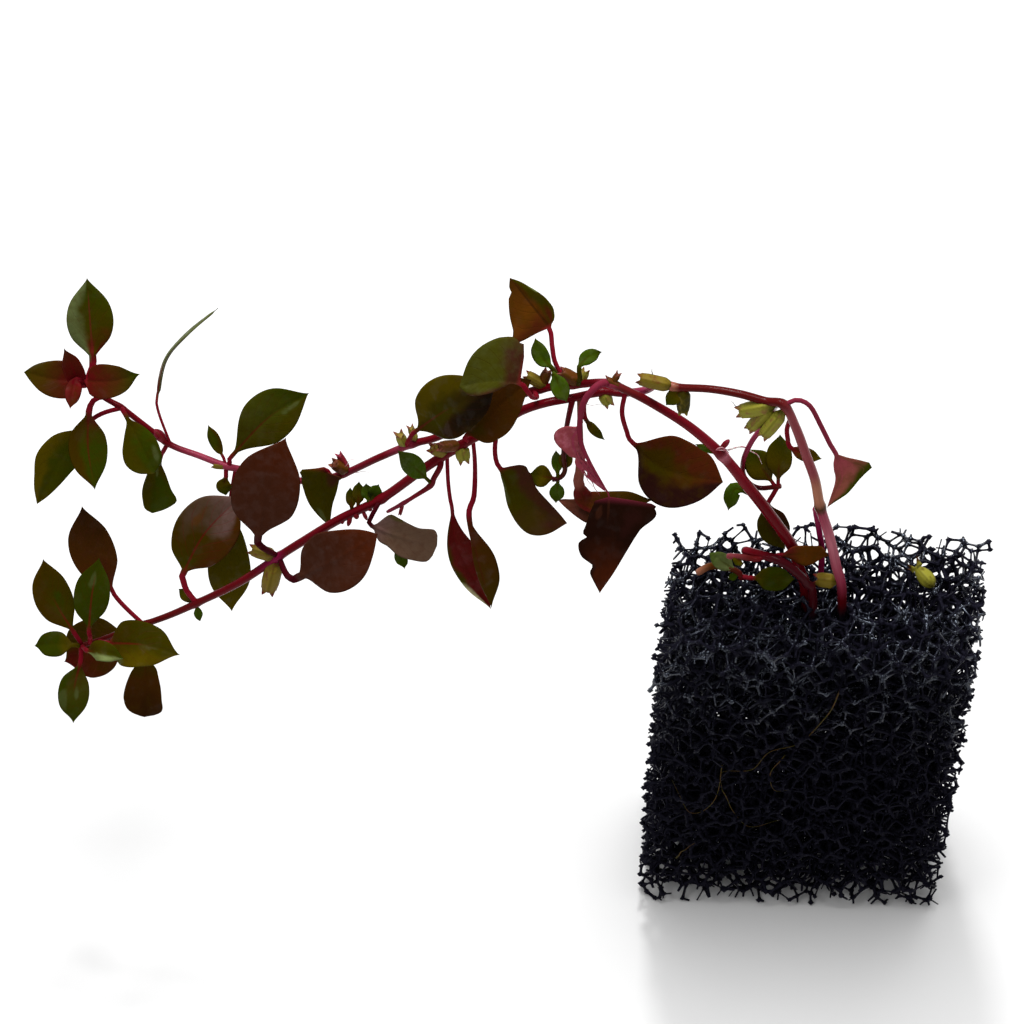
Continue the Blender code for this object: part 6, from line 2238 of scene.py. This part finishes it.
@dataclass(frozen=True)
class Studio:
    """A plain pale floor, a soft sky, a large soft box overhead and two small lamps."""

    floor_half: float = 3.0
    floor_drop: float = 0.0003
    floor_share: float = 0.87
    floor_dullness: float = 0.9
    sky: float = 0.4
    lamps: tuple[Lamp, ...] = (
        Lamp((-0.03, 0.15, 1.0), (-0.03, 0.0, 0.05), 0.5, 7.0),
        Lamp((-0.08, 0.42, 0.85), (-0.03, 0.0, 0.08), 0.09, 3.0),
        Lamp((-0.55, -0.25, 0.8), (-0.05, 0.0, 0.08), 0.2, 0.7),
    )

    def make_floor(self) -> None:
        """Lay a flat dull floor just under the part."""
        half = self.floor_half
        mesh = bpy.data.meshes.new("floor")
        corners = [(-half, -half), (half, -half), (half, half), (-half, half)]
        mesh.from_pydata([(x, y, -self.floor_drop) for x, y in corners], [], [(0, 1, 2, 3)])
        floor = bpy.data.objects.new("floor", mesh)
        paper = bpy.data.materials.new("floor_paper")
        paper.use_nodes = True
        shader = paper.node_tree.nodes["Principled BSDF"]
        shader.inputs["Base Color"].default_value = (*(3 * (self.floor_share,)), 1.0)
        shader.inputs["Roughness"].default_value = self.floor_dullness
        shader.inputs["Specular IOR Level"].default_value = 0.0
        mesh.materials.append(paper)
        bpy.context.scene.collection.objects.link(floor)

    def make_sky(self) -> None:
        """Light the scene evenly from all sides."""
        world = bpy.data.worlds.new("sky")
        world.use_nodes = True
        sky = world.node_tree.nodes["Background"]
        sky.inputs["Color"].default_value = (1.0, 1.0, 1.0, 1.0)
        sky.inputs["Strength"].default_value = self.sky
        bpy.context.scene.world = world

    def make(self) -> None:
        """Make the floor, the sky and the lamps, and show colours as they are."""
        self.make_floor()
        self.make_sky()
        for number, lamp in enumerate(self.lamps):
            lamp.make(f"lamp_{number}")
        bpy.context.scene.view_settings.view_transform = "Standard"


def make_growths() -> None:
    """Build the capsules, dried flowers and buds: one piece for each finish and stem."""
    for group, (finish, growths) in enumerate(GROWTHS):
        material = finish.material(f"growth_finish_{group}")
        for node in dict.fromkeys(growth.node for growth in growths):
            parts = [part for growth in growths if growth.node == node
                     for part in growth.surfaces()]
            Surface.joined(parts).make(f"{node}_growths_{group}", material, finish.slot,
                                       (node,))
    Surface.joined(FALLEN_CAPSULE.surfaces()).make(
        "fallen_capsule_detail", FALLEN.material("fallen_finish"), FALLEN.slot,
        (FALLEN_CAPSULE.node,))


def make_strands() -> None:
    """Build the fibres, threads and roots, one piece for each group."""
    for name, finish, slot, node, strands in STRANDS:
        Surface.joined([strand.surface() for strand in strands]).make(
            name, finish.material(name), slot, (node,))


def main() -> None:
    """Build the camera, the foam, the stems, the leaves and the small growths in turn."""
    logging.basicConfig(level=logging.INFO, format="%(name)s %(message)s")
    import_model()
    VIEW.make_camera()
    Studio().make()
    FoamSlab().make(tuple(stem for stem in STEMS if stem.buried is not None))
    for stem in STEMS:
        stem.make()
    for leaf in LEAVES:
        leaf.make()
    for number, leaflet in enumerate(LEAFLETS):
        leaflet.leaf(number).make()
    make_growths()
    make_strands()


if __name__ == "__main__":
    main()
